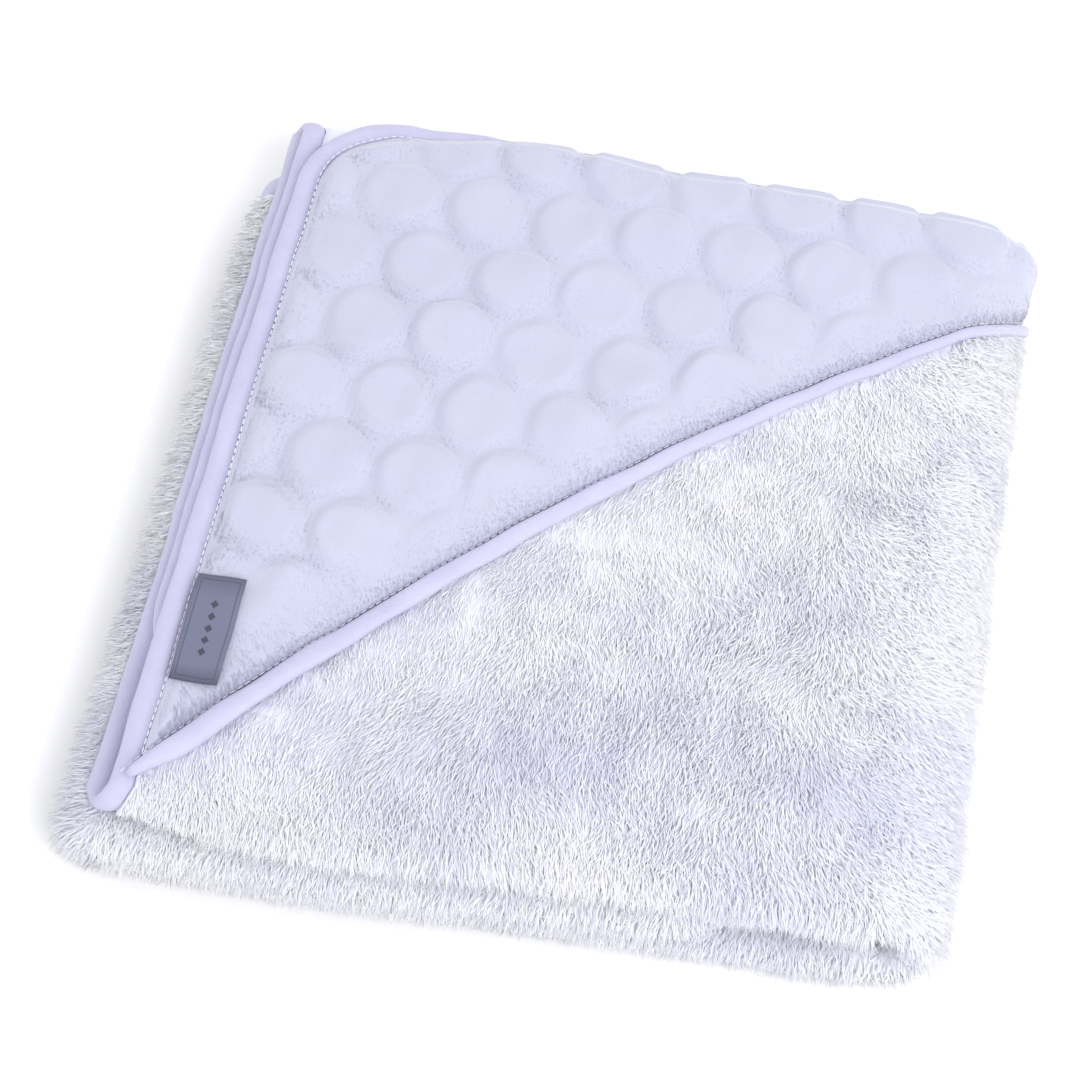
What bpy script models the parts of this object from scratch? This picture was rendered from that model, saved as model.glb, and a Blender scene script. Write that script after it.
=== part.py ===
"""Hooded baby towel, folded in three both ways and lying flat.

The square plush cloth is first folded in three from back to front, so that every third is a
strip of three layers of cloth, and then in three from side to side: the top third, with the hood on
it, turns down round the right fold into the bottom third, which turns up round the left fold
into the tucked third. Metres, +Z up, +Y to the back. The origin is the middle of the
package's footprint on the surface that it lies on.
"""

import math

import bmesh
import bpy
from mathutils import Vector

# Driving sizes of the cloth.
TOWEL_SIDE = 0.76  # the towel's side when it lies open
PLY = 0.0045  # one layer of plush, with its pile pressed
PLY_GAP = 0.0004  # air between two layers of one third
THIRD_GAP = 0.0004  # air between two thirds
SEAM_GAP = 0.0003  # clearance between pieces that meet

# How the folds lie.
EDGE_INSET = 0.0035  # the top third's bound edge stops this far inside the left fold's centre
EDGE_STAGGER = 0.009  # the lower layer of the top third reaches this much further left
TUCK_SHORT = 0.024  # the tucked third's bound edge stops this far before the right fold
ROW_SHORT = 0.036  # the tucked layer of each third stops this far before its front fold
BACK_INSET = 0.003  # a back fold lies this far inside the bound back edge
TOP_FRONT_SKEW = 0.010  # the top third's front fold comes this much closer at its left end
LOWER_FRONT_STEP = 0.009  # the lower thirds' front folds come this much closer again, at the left
LOWER_RIGHT_STEP = 0.005  # and this much at the right
LOWER_BACK_STEP = 0.022  # the lower thirds' back edges stop this much sooner at the left

# The satin edge binding.
TAPE_WIDTH = 0.008
TAPE_HEIGHT = 0.0045
CORNER_RADIUS = 0.036  # outer radius of the towel's corners
GROOVE = 0.0014  # sewn groove beside a binding, where the thread lies
THREAD_DIAMETER = 0.0007

# The hood.
HOOD_THICKNESS = 0.0022
HOOD_FRONT = 0.018  # the hood's slanting edge starts this far behind the front fold
HOOD_RIGHT_DROP = 0.046  # and meets the right fold this far in front of the back edge
HOOD_BOW = 0.0115  # how far the slanting edge bows towards the hood's corner
BUBBLE_PITCH = 0.030
BUBBLE_SPACE = 0.0036  # plain cloth between two bubbles
BUBBLE_FLANK = 0.0024  # how far a bubble's flank leans in
BUBBLE_HEIGHT = 0.0018
BUBBLE_MARGIN = 0.0022  # plain cloth left between a bubble and the hood's edge

# The woven side label.
LABEL_WIDTH = 0.0165
LABEL_LENGTH = 0.036
LABEL_THICKNESS = 0.0006
LABEL_FRONT = 0.042  # from the front fold to the label's near end

# Fineness of the curves.
FOLD_STEPS = 8
WRAP_STEPS = 16
CORNER_STEPS = 8
SLANT_STEPS = 16
BUBBLE_SIDES = 16

# Sizes that follow from those.
THIRD = 3 * PLY + 2 * PLY_GAP
PAIR = 2 * PLY + PLY_GAP
STACK = 3 * THIRD + 2 * THIRD_GAP
BOTTOM_Z = 0.0
TUCKED_Z = THIRD + THIRD_GAP
TOP_Z = 2 * (THIRD + THIRD_GAP)
RIGHT_WRAP = STACK / 2  # outer radius of the right fold
LEFT_WRAP = THIRD + THIRD_GAP / 2  # outer radius of the left fold
WRAP_CLOTH = math.pi * (RIGHT_WRAP + LEFT_WRAP - THIRD)
SPAN = (TOWEL_SIDE + EDGE_INSET + TUCK_SHORT - WRAP_CLOTH) / 3
WIDTH = SPAN + LEFT_WRAP + RIGHT_WRAP
LEFT_X = LEFT_WRAP - WIDTH / 2  # centre of the left fold
RIGHT_X = WIDTH / 2 - RIGHT_WRAP  # centre of the right fold

FRONT_WRAP = THIRD / 2
BACK_WRAP = PAIR / 2
TURN_CLOTH = math.pi * (FRONT_WRAP + BACK_WRAP - PLY)
ROW = (TOWEL_SIDE + 2 * BACK_INSET + ROW_SHORT - TURN_CLOTH) / 3
TOP_DEPTH = ROW + FRONT_WRAP
DEPTH = TOP_DEPTH + LOWER_FRONT_STEP
BUBBLE_RADIUS = (BUBBLE_PITCH - BUBBLE_SPACE) / 2
BUBBLE_TOP_RADIUS = BUBBLE_RADIUS - BUBBLE_FLANK
BACK_Y = DEPTH / 2  # the outer side of the top third's back binding

TAPE_REACH = SEAM_GAP + TAPE_WIDTH / 2  # from the cloth's edge to the middle of its binding
CLOTH_INSET = SEAM_GAP + TAPE_WIDTH  # from a binding's outer side to the cloth's edge
CLOTH_RADIUS = CORNER_RADIUS - CLOTH_INSET

UP = Vector((0.0, 0.0, 1.0))
BACKWARDS = Vector((0.0, 1.0, 0.0))

# Colours and finishes.
PLUSH = (0.90, 0.90, 0.95, 1.0)
VELOUR = (0.82, 0.82, 0.91, 1.0)
SATIN = (0.80, 0.80, 0.90, 1.0)
WOVEN = (0.36, 0.38, 0.52, 1.0)
THREAD = (0.86, 0.86, 0.93, 1.0)


def clear_scene():
    for item in list(bpy.data.objects):
        bpy.data.objects.remove(item, do_unlink=True)


def finish_material(name, colour, roughness, sheen=0.0):
    """A cloth's finish: its colour, roughness and the soft light on its fibres."""
    material = bpy.data.materials.new(name)
    material.use_nodes = True
    shader = material.node_tree.nodes["Principled BSDF"]
    shader.inputs["Base Color"].default_value = colour
    shader.inputs["Roughness"].default_value = roughness
    shader.inputs["Metallic"].default_value = 0.0
    shader.inputs["Sheen Weight"].default_value = sheen
    return material


def add_piece(name, mesh_data, colour, roughness, sheen=0.0, origin=Vector()):
    """Turn a bmesh into a named object with its origin at the given point."""
    bmesh.ops.recalc_face_normals(mesh_data, faces=mesh_data.faces)
    bmesh.ops.translate(mesh_data, verts=mesh_data.verts, vec=-origin)
    mesh = bpy.data.meshes.new(name)
    mesh_data.to_mesh(mesh)
    mesh_data.free()
    piece = bpy.data.objects.new(name, mesh)
    bpy.context.scene.collection.objects.link(piece)
    piece.location = origin
    mesh.materials.append(finish_material(name + "_finish", colour, roughness, sheen))
    mesh.shade_smooth()
    mesh.set_sharp_from_angle(angle=math.radians(40))
    return piece


def between(first, last, share):
    return first + (last - first) * share


def edge_path(lie, rows_x, inward, rounded, reach=0.0):
    """One end of a folded strip: the middle of its cloth, layer by layer.

    lie holds the strip's low Z, its facing (1 where the outer layer is on top), and the Y of its
    front fold, back fold and bound back edge. rows_x are the end's X on the outer, lower
    and tucked layers. Where rounded, the two free corners are round. A reach moves the path
    outwards from the cloth's edge, to the middle of its binding. Each station of the path is its
    point, the cloth's outward normal there, and the way out of the cloth's edge.
    """
    low, facing, front, back, edge = lie
    outer_x, lower_x, tucked_x = [x - inward * reach for x in rows_x]
    radius = CLOTH_RADIUS + reach
    turn = FRONT_WRAP - PLY / 2
    fold = BACK_WRAP - PLY / 2
    front_centre = front + FRONT_WRAP
    back_centre = back - BACK_WRAP
    tucked_end = back_centre - (ROW - 2 * BACK_INSET - ROW_SHORT)
    path = []

    def add(x, y, height, normal, out=(1.0, 0.0)):
        z = low + height if facing > 0 else low + THIRD - height
        up = Vector((0.0, normal[0], normal[1] * facing))
        path.append((Vector((x, y, z)), up, Vector((-inward * out[0], out[1], 0.0))))

    for step in range(CORNER_STEPS + 1):
        angle = math.pi / 2 * (1 - step / CORNER_STEPS)
        shift = radius * (1 - math.cos(angle)) if rounded else 0.0
        y = edge + reach - radius * (1 - math.sin(angle))
        out = (math.cos(angle), math.sin(angle)) if rounded else (1.0, 0.0)
        add(outer_x + inward * shift, y, THIRD - PLY / 2, (0.0, 1.0), out)
    for step in range(FOLD_STEPS + 1):
        share = step / FOLD_STEPS
        angle = math.pi / 2 + math.pi * share
        x = between(outer_x, lower_x, share)
        y = front_centre + turn * math.cos(angle)
        way = (math.cos(angle), math.sin(angle))
        add(x, y, THIRD / 2 + turn * way[1], way)
    for step in range(FOLD_STEPS + 1):
        share = step / FOLD_STEPS
        angle = -math.pi / 2 + math.pi * share
        x = between(lower_x, tucked_x, share)
        y = back_centre + fold * math.cos(angle)
        way = (math.cos(angle), math.sin(angle))
        add(x, y, BACK_WRAP + fold * way[1], way)
    for step in range(CORNER_STEPS + 1):
        angle = math.pi / 2 * step / CORNER_STEPS
        shift = radius * (1 - math.cos(angle)) if rounded else 0.0
        y = tucked_end - reach + radius * (1 - math.sin(angle))
        out = (math.cos(angle), -math.sin(angle)) if rounded else (1.0, 0.0)
        add(tucked_x + inward * shift, y, PAIR - PLY / 2, (0.0, 1.0), out)
    return path


def folded_strip(left_path, right_path):
    """The closed solid of one cloth that runs from its left path to its right path."""
    solid = bmesh.new()
    rings = []
    for (left, left_up, _), (right, right_up, _) in zip(left_path, right_path):
        corners = (
            left + left_up * PLY / 2,
            right + right_up * PLY / 2,
            right - right_up * PLY / 2,
            left - left_up * PLY / 2,
        )
        rings.append([solid.verts.new(corner) for corner in corners])
    join_rings(solid, rings)
    return solid


def join_rings(solid, rings):
    """Skin a row of equal rings and close both its ends."""
    count = len(rings[0])
    for ring, following in zip(rings, rings[1:]):
        for side in range(count):
            after = (side + 1) % count
            solid.faces.new((ring[side], ring[after], following[after], following[side]))
    solid.faces.new(rings[0])
    solid.faces.new(reversed(rings[-1]))


def swept_band(path, width, height, sides=10):
    """A band of oval section that follows a path of (point, normal, way across) stations."""
    solid = bmesh.new()
    rings = []
    for point, up, across in path:
        ring = []
        for side in range(sides):
            angle = math.tau * side / sides
            offset = across * width / 2 * math.cos(angle) + up * height / 2 * math.sin(angle)
            ring.append(solid.verts.new(point + offset))
        rings.append(ring)
    join_rings(solid, rings)
    return solid


def half_wrap(centre_x, radius, side, cloth, front, back, low=BOTTOM_Z):
    """A half ring of cloth round a fold, from its front to its back; side is 1 to the right."""
    solid = bmesh.new()
    rings = []
    for y in (front, back):
        outer, inner = [], []
        for step in range(WRAP_STEPS + 1):
            angle = -math.pi / 2 + math.pi * step / WRAP_STEPS
            for reach, row in ((radius, outer), (radius - cloth, inner)):
                x = centre_x + side * (SEAM_GAP + (reach - SEAM_GAP) * math.cos(angle))
                row.append((x, y, low + radius + reach * math.sin(angle)))
        rings.append([solid.verts.new(corner) for corner in outer + inner[::-1]])
    join_rings(solid, rings)
    return solid


def wrap_path(centre_x, radius, side, y):
    """The middle line of a binding that turns round a fold at one Y."""
    path = []
    for step in range(WRAP_STEPS + 1):
        angle = -math.pi / 2 + math.pi * step / WRAP_STEPS
        normal = Vector((side * math.cos(angle), 0.0, math.sin(angle)))
        start = Vector((centre_x + side * SEAM_GAP, y, radius))
        path.append((start + normal * (radius - TAPE_HEIGHT / 2), normal, BACKWARDS))
    return path


def plate(outline, low, high):
    """An upright-sided plate with the given plan outline."""
    solid = bmesh.new()
    rings = [[solid.verts.new((x, y, z)) for x, y in outline] for z in (low, high)]
    join_rings(solid, rings)
    return solid


def lies():
    """How the three strips lie at their left and right ends: see edge_path."""
    front = BACK_Y - TOP_DEPTH
    back = BACK_Y - BACK_INSET
    edge = BACK_Y - CLOTH_INSET
    top = ((TOP_Z, 1, front, back, edge), (TOP_Z, 1, front + TOP_FRONT_SKEW, back, edge))
    lower_left = (front - LOWER_FRONT_STEP, back - LOWER_BACK_STEP, edge - LOWER_BACK_STEP)
    lower_right = (front + TOP_FRONT_SKEW - LOWER_RIGHT_STEP, back, edge)
    bottom = ((BOTTOM_Z, -1, *lower_left), (BOTTOM_Z, -1, *lower_right))
    tucked = ((TUCKED_Z, 1, *lower_left), (TUCKED_Z, 1, *lower_right))
    return top, bottom, tucked


def lie_at(lie_pair, x):
    """The lie of a strip at any X between its ends."""
    left, right = lie_pair
    share = (x - LEFT_X) / (RIGHT_X - LEFT_X)
    measures = [between(a, b, share) for a, b in zip(left[2:], right[2:])]
    return (left[0], left[1], *measures)


def slant_edge(offset, first=0.0, last=1.0):
    """Points along the hood's slanting edge, moved out by the offset, each with its way out."""
    start = Vector((hood_left(), BACK_Y - TOP_DEPTH + HOOD_FRONT, 0.0))
    end = Vector((RIGHT_X - SEAM_GAP, BACK_Y - HOOD_RIGHT_DROP, 0.0))
    chord = end - start
    out = Vector((chord.y, -chord.x, 0.0)).normalized()
    radius = chord.length_squared / (8 * HOOD_BOW) + HOOD_BOW / 2
    half_turn = math.asin(chord.length / 2 / radius)
    centre = (start + end) / 2 + out * (radius - HOOD_BOW)
    points = []
    for step in range(SLANT_STEPS + 1):
        angle = half_turn * (2 * between(first, last, step / SLANT_STEPS) - 1)
        spoke = chord.normalized() * math.sin(angle) - out * math.cos(angle)
        points.append((centre + spoke * (radius - offset), spoke))
    return points


def tape_left():
    """The outer side of the binding on the top third's outer layer."""
    return LEFT_X + EDGE_INSET


def hood_left():
    """The hood's left edge, past the binding and its groove."""
    return tape_left() + TAPE_WIDTH + GROOVE


def make_thirds(top, bottom, tucked):
    """The three strips of cloth, each folded in three."""
    cloth_x = tape_left() + CLOTH_INSET
    rows = (cloth_x, cloth_x - EDGE_STAGGER, cloth_x - EDGE_STAGGER / 2)
    left_end, right_end = LEFT_X + SEAM_GAP, RIGHT_X - SEAM_GAP
    tuck_end = RIGHT_X - TUCK_SHORT - CLOTH_INSET
    top_left = edge_path(top[0], rows, 1, True)
    top_right = edge_path(top[1], (right_end,) * 3, -1, False)
    add_piece("towel_top_third", folded_strip(top_left, top_right), PLUSH, 0.95, 0.6)

    bottom_left = edge_path(bottom[0], (left_end,) * 3, 1, False)
    bottom_right = edge_path(bottom[1], (right_end,) * 3, -1, False)
    add_piece("towel_bottom_third", folded_strip(bottom_left, bottom_right), PLUSH, 0.95, 0.6)

    tucked_left = edge_path(tucked[0], (left_end,) * 3, 1, False)
    tucked_right = edge_path(lie_at(tucked, tuck_end), (tuck_end,) * 3, -1, True)
    add_piece("towel_tucked_third", folded_strip(tucked_left, tucked_right), PLUSH, 0.95, 0.6)


def make_folds(top, bottom):
    """The cloth that turns round the two side folds, with the binding on its back edge."""
    for name, x, radius, side, lie in (
        ("right_fold", RIGHT_X, RIGHT_WRAP, 1, bottom[1]),
        ("left_fold", LEFT_X, LEFT_WRAP, -1, bottom[0]),
    ):
        front, edge = lie[2], lie[4]
        wrap = half_wrap(x, radius, side, THIRD, front, edge)
        add_piece(name, wrap, PLUSH, 0.95, 0.6)
        tape = swept_band(wrap_path(x, radius, side, edge + TAPE_REACH), TAPE_WIDTH, TAPE_HEIGHT)
        add_piece(name + "_binding", tape, SATIN, 0.4, 0.2)


def make_bindings(top, bottom, tucked):
    """The satin binding on every free edge of the three strips."""
    cloth_x = tape_left() + CLOTH_INSET
    rows = (cloth_x, cloth_x - EDGE_STAGGER, cloth_x - EDGE_STAGGER / 2)
    right_end = RIGHT_X - SEAM_GAP
    path = edge_path(top[0], rows, 1, True, TAPE_REACH)
    first, last = path[0][0], path[-1][0]
    path.insert(0, (Vector((right_end, first.y, first.z)), UP, BACKWARDS))
    path.append((Vector((right_end, last.y, last.z)), UP, -BACKWARDS))
    add_piece("top_edge_binding", swept_band(path, TAPE_WIDTH, TAPE_HEIGHT), SATIN, 0.4, 0.2)

    tuck_end = RIGHT_X - TUCK_SHORT - CLOTH_INSET
    left_end = LEFT_X + SEAM_GAP
    path = edge_path(lie_at(tucked, tuck_end), (tuck_end,) * 3, -1, True, TAPE_REACH)
    first = path[0][0]
    start_y = lie_at(tucked, left_end)[4] + TAPE_REACH
    path.insert(0, (Vector((left_end, start_y, first.z)), UP, BACKWARDS))
    add_piece("tucked_edge_binding", swept_band(path, TAPE_WIDTH, TAPE_HEIGHT), SATIN, 0.4, 0.2)

    middle = BOTTOM_Z + PLY / 2
    path = []
    for x in (left_end, right_end):
        y = lie_at(bottom, x)[4] + TAPE_REACH
        path.append((Vector((x, y, middle)), UP, BACKWARDS))
    add_piece("bottom_edge_binding", swept_band(path, TAPE_WIDTH, TAPE_HEIGHT), SATIN, 0.4, 0.2)


def hood_outline():
    """The hood panel's plan: its slanting edge, back edge, round corner and left edge."""
    back = BACK_Y - TAPE_WIDTH - GROOVE
    left = hood_left()
    radius = CORNER_RADIUS - TAPE_WIDTH - GROOVE
    outline = [(point.x, point.y) for point, _ in slant_edge(0.0)]
    outline.append((RIGHT_X - SEAM_GAP, back))
    for step in range(CORNER_STEPS + 1):
        angle = math.pi / 2 * (1 + step / CORNER_STEPS)
        x = left + radius + radius * math.cos(angle)
        outline.append((x, back - radius + radius * math.sin(angle)))
    return outline


def inside_by(outline, x, y):
    """How far a point lies inside an outline, or a negative number where it is outside."""
    nearest = math.inf
    crossings = 0
    for (ax, ay), (bx, by) in zip(outline, outline[1:] + outline[:1]):
        along = Vector((bx - ax, by - ay))
        start = Vector((x - ax, y - ay))
        share = min(1.0, max(0.0, start.dot(along) / along.length_squared))
        nearest = min(nearest, (start - along * share).length)
        if (ay > y) != (by > y) and x < ax + (y - ay) / (by - ay) * (bx - ax):
            crossings += 1
    return nearest if crossings % 2 else -nearest


def make_hood():
    """The embossed velour triangle: a plate with raised bubbles joined to it."""
    low = TOP_Z + THIRD + SEAM_GAP
    high = low + HOOD_THICKNESS
    outline = hood_outline()
    hood = add_piece("hood_panel", plate(outline, low, high), VELOUR, 0.9, 0.5)
    bubbles = bmesh.new()
    rows = math.ceil(WIDTH / BUBBLE_PITCH)
    for row in range(-rows, rows + 1):
        for column in range(-rows, rows + 1):
            x = (column + row % 2 / 2) * BUBBLE_PITCH
            y = row * BUBBLE_PITCH * math.sqrt(3) / 2
            if inside_by(outline, x, y) < BUBBLE_RADIUS + BUBBLE_MARGIN:
                continue
            if x - BUBBLE_RADIUS < hood_left() + LABEL_WIDTH and abs(y - label_middle()) < 0.04:
                continue
            rings = []
            for radius, z in (
                (BUBBLE_RADIUS, high - HOOD_THICKNESS / 2),
                (BUBBLE_RADIUS, high),
                (BUBBLE_TOP_RADIUS, high + BUBBLE_HEIGHT),
            ):
                ring = []
                for side in range(BUBBLE_SIDES):
                    angle = math.tau * side / BUBBLE_SIDES
                    place = (x + radius * math.cos(angle), y + radius * math.sin(angle), z)
                    ring.append(bubbles.verts.new(place))
                rings.append(ring)
            join_rings(bubbles, rings)
    cutter = add_piece("hood_bubble_shapes", bubbles, VELOUR, 0.9)
    cutter.hide_render = True
    cutter.display_type = "WIRE"
    raise_bubbles = hood.modifiers.new("raise_bubbles", "BOOLEAN")
    raise_bubbles.operation = "UNION"
    raise_bubbles.object = cutter


def make_slant_binding():
    """The satin tape along the hood's slanting edge, and the seam thread beside it."""
    middle = TOP_Z + THIRD + SEAM_GAP + TAPE_HEIGHT / 2
    start = (TAPE_WIDTH / 2 + SEAM_GAP) / SPAN
    tape = []
    for point, out in slant_edge(GROOVE + TAPE_WIDTH / 2, start):
        tape.append((Vector((point.x, point.y, middle)), UP, out))
    band = swept_band(tape, TAPE_WIDTH, TAPE_HEIGHT)
    add_piece("hood_edge_binding", band, SATIN, 0.4, 0.2)
    height = TOP_Z + THIRD + SEAM_GAP + THREAD_DIAMETER / 2
    seam = []
    for point, out in slant_edge(GROOVE / 2, start):
        seam.append((Vector((point.x, point.y, height)), UP, out))
    thread = swept_band(seam, THREAD_DIAMETER, THREAD_DIAMETER, 6)
    add_piece("hood_edge_thread", thread, THREAD, 0.5)


def make_edge_thread():
    """The seam thread in the groove between the hood and the edge binding."""
    height = TOP_Z + THIRD + SEAM_GAP + THREAD_DIAMETER / 2
    radius = CORNER_RADIUS - TAPE_WIDTH - GROOVE / 2
    left = tape_left() + TAPE_WIDTH + GROOVE / 2
    back = BACK_Y - TAPE_WIDTH - GROOVE / 2
    path = [(Vector((RIGHT_X - SEAM_GAP, back, height)), UP, BACKWARDS)]
    for step in range(CORNER_STEPS + 1):
        angle = math.pi / 2 * (1 + step / CORNER_STEPS)
        out = Vector((math.cos(angle), math.sin(angle), 0.0))
        centre = Vector((left + radius, back - radius, height))
        path.append((centre + out * radius, UP, out))
    path.append((Vector((left, BACK_Y - TOP_DEPTH + HOOD_FRONT, height)), UP, path[-1][2]))
    thread = swept_band(path, THREAD_DIAMETER, THREAD_DIAMETER, 6)
    add_piece("edge_binding_thread", thread, THREAD, 0.5)


def label_middle():
    return BACK_Y - TOP_DEPTH + LABEL_FRONT + LABEL_LENGTH / 2


def make_label():
    """The woven label: its long side is sewn beside the binding and is the line it flips on."""
    low = TOP_Z + THIRD + HOOD_THICKNESS + 2 * SEAM_GAP
    left = hood_left() + SEAM_GAP
    right = left + LABEL_WIDTH
    near = label_middle() - LABEL_LENGTH / 2
    far = label_middle() + LABEL_LENGTH / 2
    outline = [(left, near), (right, near), (right, far), (left, far)]
    hinge = Vector((hood_left(), label_middle(), low + LABEL_THICKNESS / 2))
    label = plate(outline, low, low + LABEL_THICKNESS)
    add_piece("side_label", label, WOVEN, 0.55, 0.1, hinge)


def main():
    clear_scene()
    top, bottom, tucked = lies()
    make_thirds(top, bottom, tucked)
    make_folds(top, bottom)
    make_bindings(top, bottom, tucked)
    make_hood()
    make_slant_binding()
    make_edge_thread()
    make_label()


main()
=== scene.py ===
# %% [markdown]
# # A hooded baby towel, folded and lying flat
# The real object is a square of long-pile plush with a satin binding sewn round it, and a
# triangle of bubble-embossed velour sewn across one corner as the hood. It is folded in three from
# back to front and then in three from side to side. Everything here is placed from the packed
# frame, so this first step loads it.

# %% Load the frame
import math

import bmesh
import bpy
import numpy as np
from mathutils import Matrix, Vector


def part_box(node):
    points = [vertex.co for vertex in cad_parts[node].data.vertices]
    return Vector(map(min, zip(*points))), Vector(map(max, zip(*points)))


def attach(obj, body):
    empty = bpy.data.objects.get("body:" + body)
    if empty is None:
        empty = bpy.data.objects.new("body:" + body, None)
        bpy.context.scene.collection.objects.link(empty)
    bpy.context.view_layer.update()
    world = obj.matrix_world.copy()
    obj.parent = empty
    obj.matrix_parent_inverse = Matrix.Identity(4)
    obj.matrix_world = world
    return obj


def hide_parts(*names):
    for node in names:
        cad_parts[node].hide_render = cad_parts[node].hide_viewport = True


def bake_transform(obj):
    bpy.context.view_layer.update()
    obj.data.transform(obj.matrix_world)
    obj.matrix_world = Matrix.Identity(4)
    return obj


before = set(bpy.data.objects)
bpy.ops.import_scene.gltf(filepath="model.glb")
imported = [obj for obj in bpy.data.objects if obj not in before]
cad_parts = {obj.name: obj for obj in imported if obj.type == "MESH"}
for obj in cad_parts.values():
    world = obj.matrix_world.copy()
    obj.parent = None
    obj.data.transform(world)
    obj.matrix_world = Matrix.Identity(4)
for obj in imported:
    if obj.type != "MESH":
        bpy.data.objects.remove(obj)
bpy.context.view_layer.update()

# %% [markdown]
# The folds give every other place. The right fold is a half turn of cloth round the whole stack,
# and the left fold a half turn round the two lower thirds. Their boxes say where their centres
# are, and the boxes of the three folded strips say how high each one lies.

# %% Read the folds from the frame
GAP = 0.0003  # clearance between pieces that meet
TAPE_WIDTH = 0.008
GROOVE = 0.0014  # sewn groove beside a binding, where the thread lies
PLY = 0.0045  # one layer of plush, with its pile pressed
PLY_GAP = 0.0004
FRONT_SKEW = 0.010  # the top third's front fold lies this much further back at its right end
HOOD_BOW = 0.0115  # how far the hood's slanting edge bows
EDGE_STAGGER = 0.009  # the lower layer of the top third reaches this much further left
CORNER = 0.036  # radius of the towel's corners

right_low, right_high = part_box("right_fold")
left_low, left_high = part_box("left_fold")
top_low, top_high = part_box("towel_top_third")
bottom_low, bottom_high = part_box("towel_bottom_third")
tucked_low, tucked_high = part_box("towel_tucked_third")
hood_low, hood_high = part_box("hood_panel")
RIGHT_X = right_low.x - GAP
LEFT_X = left_high.x + GAP
STACK = right_high.z
THIRD = bottom_high.z
BACK_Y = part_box("top_edge_binding")[1].y
HOOD_LEFT = hood_low.x
TAPE_LEFT = HOOD_LEFT - TAPE_WIDTH - GROOVE
print("fold centres at x, mm:", round(1000 * LEFT_X, 1), round(1000 * RIGHT_X, 1))

# %% [markdown]
# Cloth is never quite flat or straight. One smooth field moves every point of the towel a little:
# the stack is fuller in the middle than at its edges, its sides wander by a millimetre or so,
# and its front slumps out a little left of the middle. Because all layers go through the same
# field, they keep their order and never cross.

# %% A field that settles the stack
HALF = 0.138  # half the package's side
CROWN, EDGE_SINK = 0.0022, 0.0012  # how far the middle stands fuller, and the edges lie lower
LIFT_RANGE, PRESS_RANGE, RUMPLE_RANGE = 0.0013, 0.0005, 0.0042
SWAY_RANGE = 0.0016
SLUMP_X, SLUMP_WIDTH, SLUMP_OUT, SLUMP_DOWN = -0.050, 0.040, 0.0034, 0.0016


def waves(seed, count, longest, shortest):
    """A smooth pattern over two coordinates: a few crossed sine waves with fixed phases."""
    draw = np.random.default_rng(seed)
    lengths = np.geomspace(longest, shortest, count)
    turn = draw.uniform(0, math.tau, count)
    phase = draw.uniform(0, math.tau, count)

    def at(a, b):
        total = np.zeros(np.broadcast(a, b).shape)
        for i in range(count):
            along = a * math.cos(turn[i]) + b * math.sin(turn[i])
            total += np.sin(math.tau * along / lengths[i] + phase[i]) * lengths[i] / longest
        return total / count

    return at


lift = waves(11, 6, 0.16, 0.045)
sway = waves(12, 5, 0.22, 0.06)
press = waves(13, 5, 0.12, 0.04)
rumple = waves(14, 9, 0.060, 0.013)


def settle(points):
    """Move points of the tidy stack to where soft cloth would lie."""
    p = np.array(points, float)
    x, y, z = p[:, 0], p[:, 1], p[:, 2]
    share = np.clip(z / STACK, 0, 1.2)
    inside_x = np.clip(1 - np.abs(x) / HALF, 0, 1)
    inside_y = np.clip(1 - np.abs(y) / HALF, 0, 1)
    full = np.minimum(1, 6 * inside_x) * np.minimum(1, 6 * inside_y)
    crown = CROWN * full - EDGE_SINK
    moved = p.copy()
    moved[:, 2] += share * (crown + LIFT_RANGE * lift(x, y) + PRESS_RANGE * press(x, y))
    moved[:, 2] += share**3 * RUMPLE_RANGE * rumple(x, y)
    moved[:, 0] += SWAY_RANGE * sway(y, z * 2) * np.abs(x) / HALF
    moved[:, 1] += SWAY_RANGE * sway(x + 0.4, z * 2) * np.abs(y) / HALF
    at_front = np.clip((-0.085 - y) / 0.035, 0, 1)
    slump = np.exp(-((x - SLUMP_X) / SLUMP_WIDTH) ** 2) * at_front**2 * (3 - 2 * at_front)
    moved[:, 1] -= SLUMP_OUT * slump * share
    moved[:, 2] -= SLUMP_DOWN * slump * share
    return moved


# %% [markdown]
# ## Finishes
# Every finish is built from nodes. Two effects are shared as node groups. Mottle lays soft
# patches of shade over a colour, as pile does where it lies in different directions. Weave makes
# the fine ribs of a satin tape, as a height for a Bump node.

# %% Shared shader groups
def new_group(name, inputs, outputs):
    tree = bpy.data.node_groups.new(name, "ShaderNodeTree")
    for label, kind, value in inputs:
        socket = tree.interface.new_socket(label, in_out="INPUT", socket_type=kind)
        socket.default_value = value
    for label, kind in outputs:
        tree.interface.new_socket(label, in_out="OUTPUT", socket_type=kind)
    return tree, tree.nodes.new("NodeGroupInput"), tree.nodes.new("NodeGroupOutput")


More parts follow.
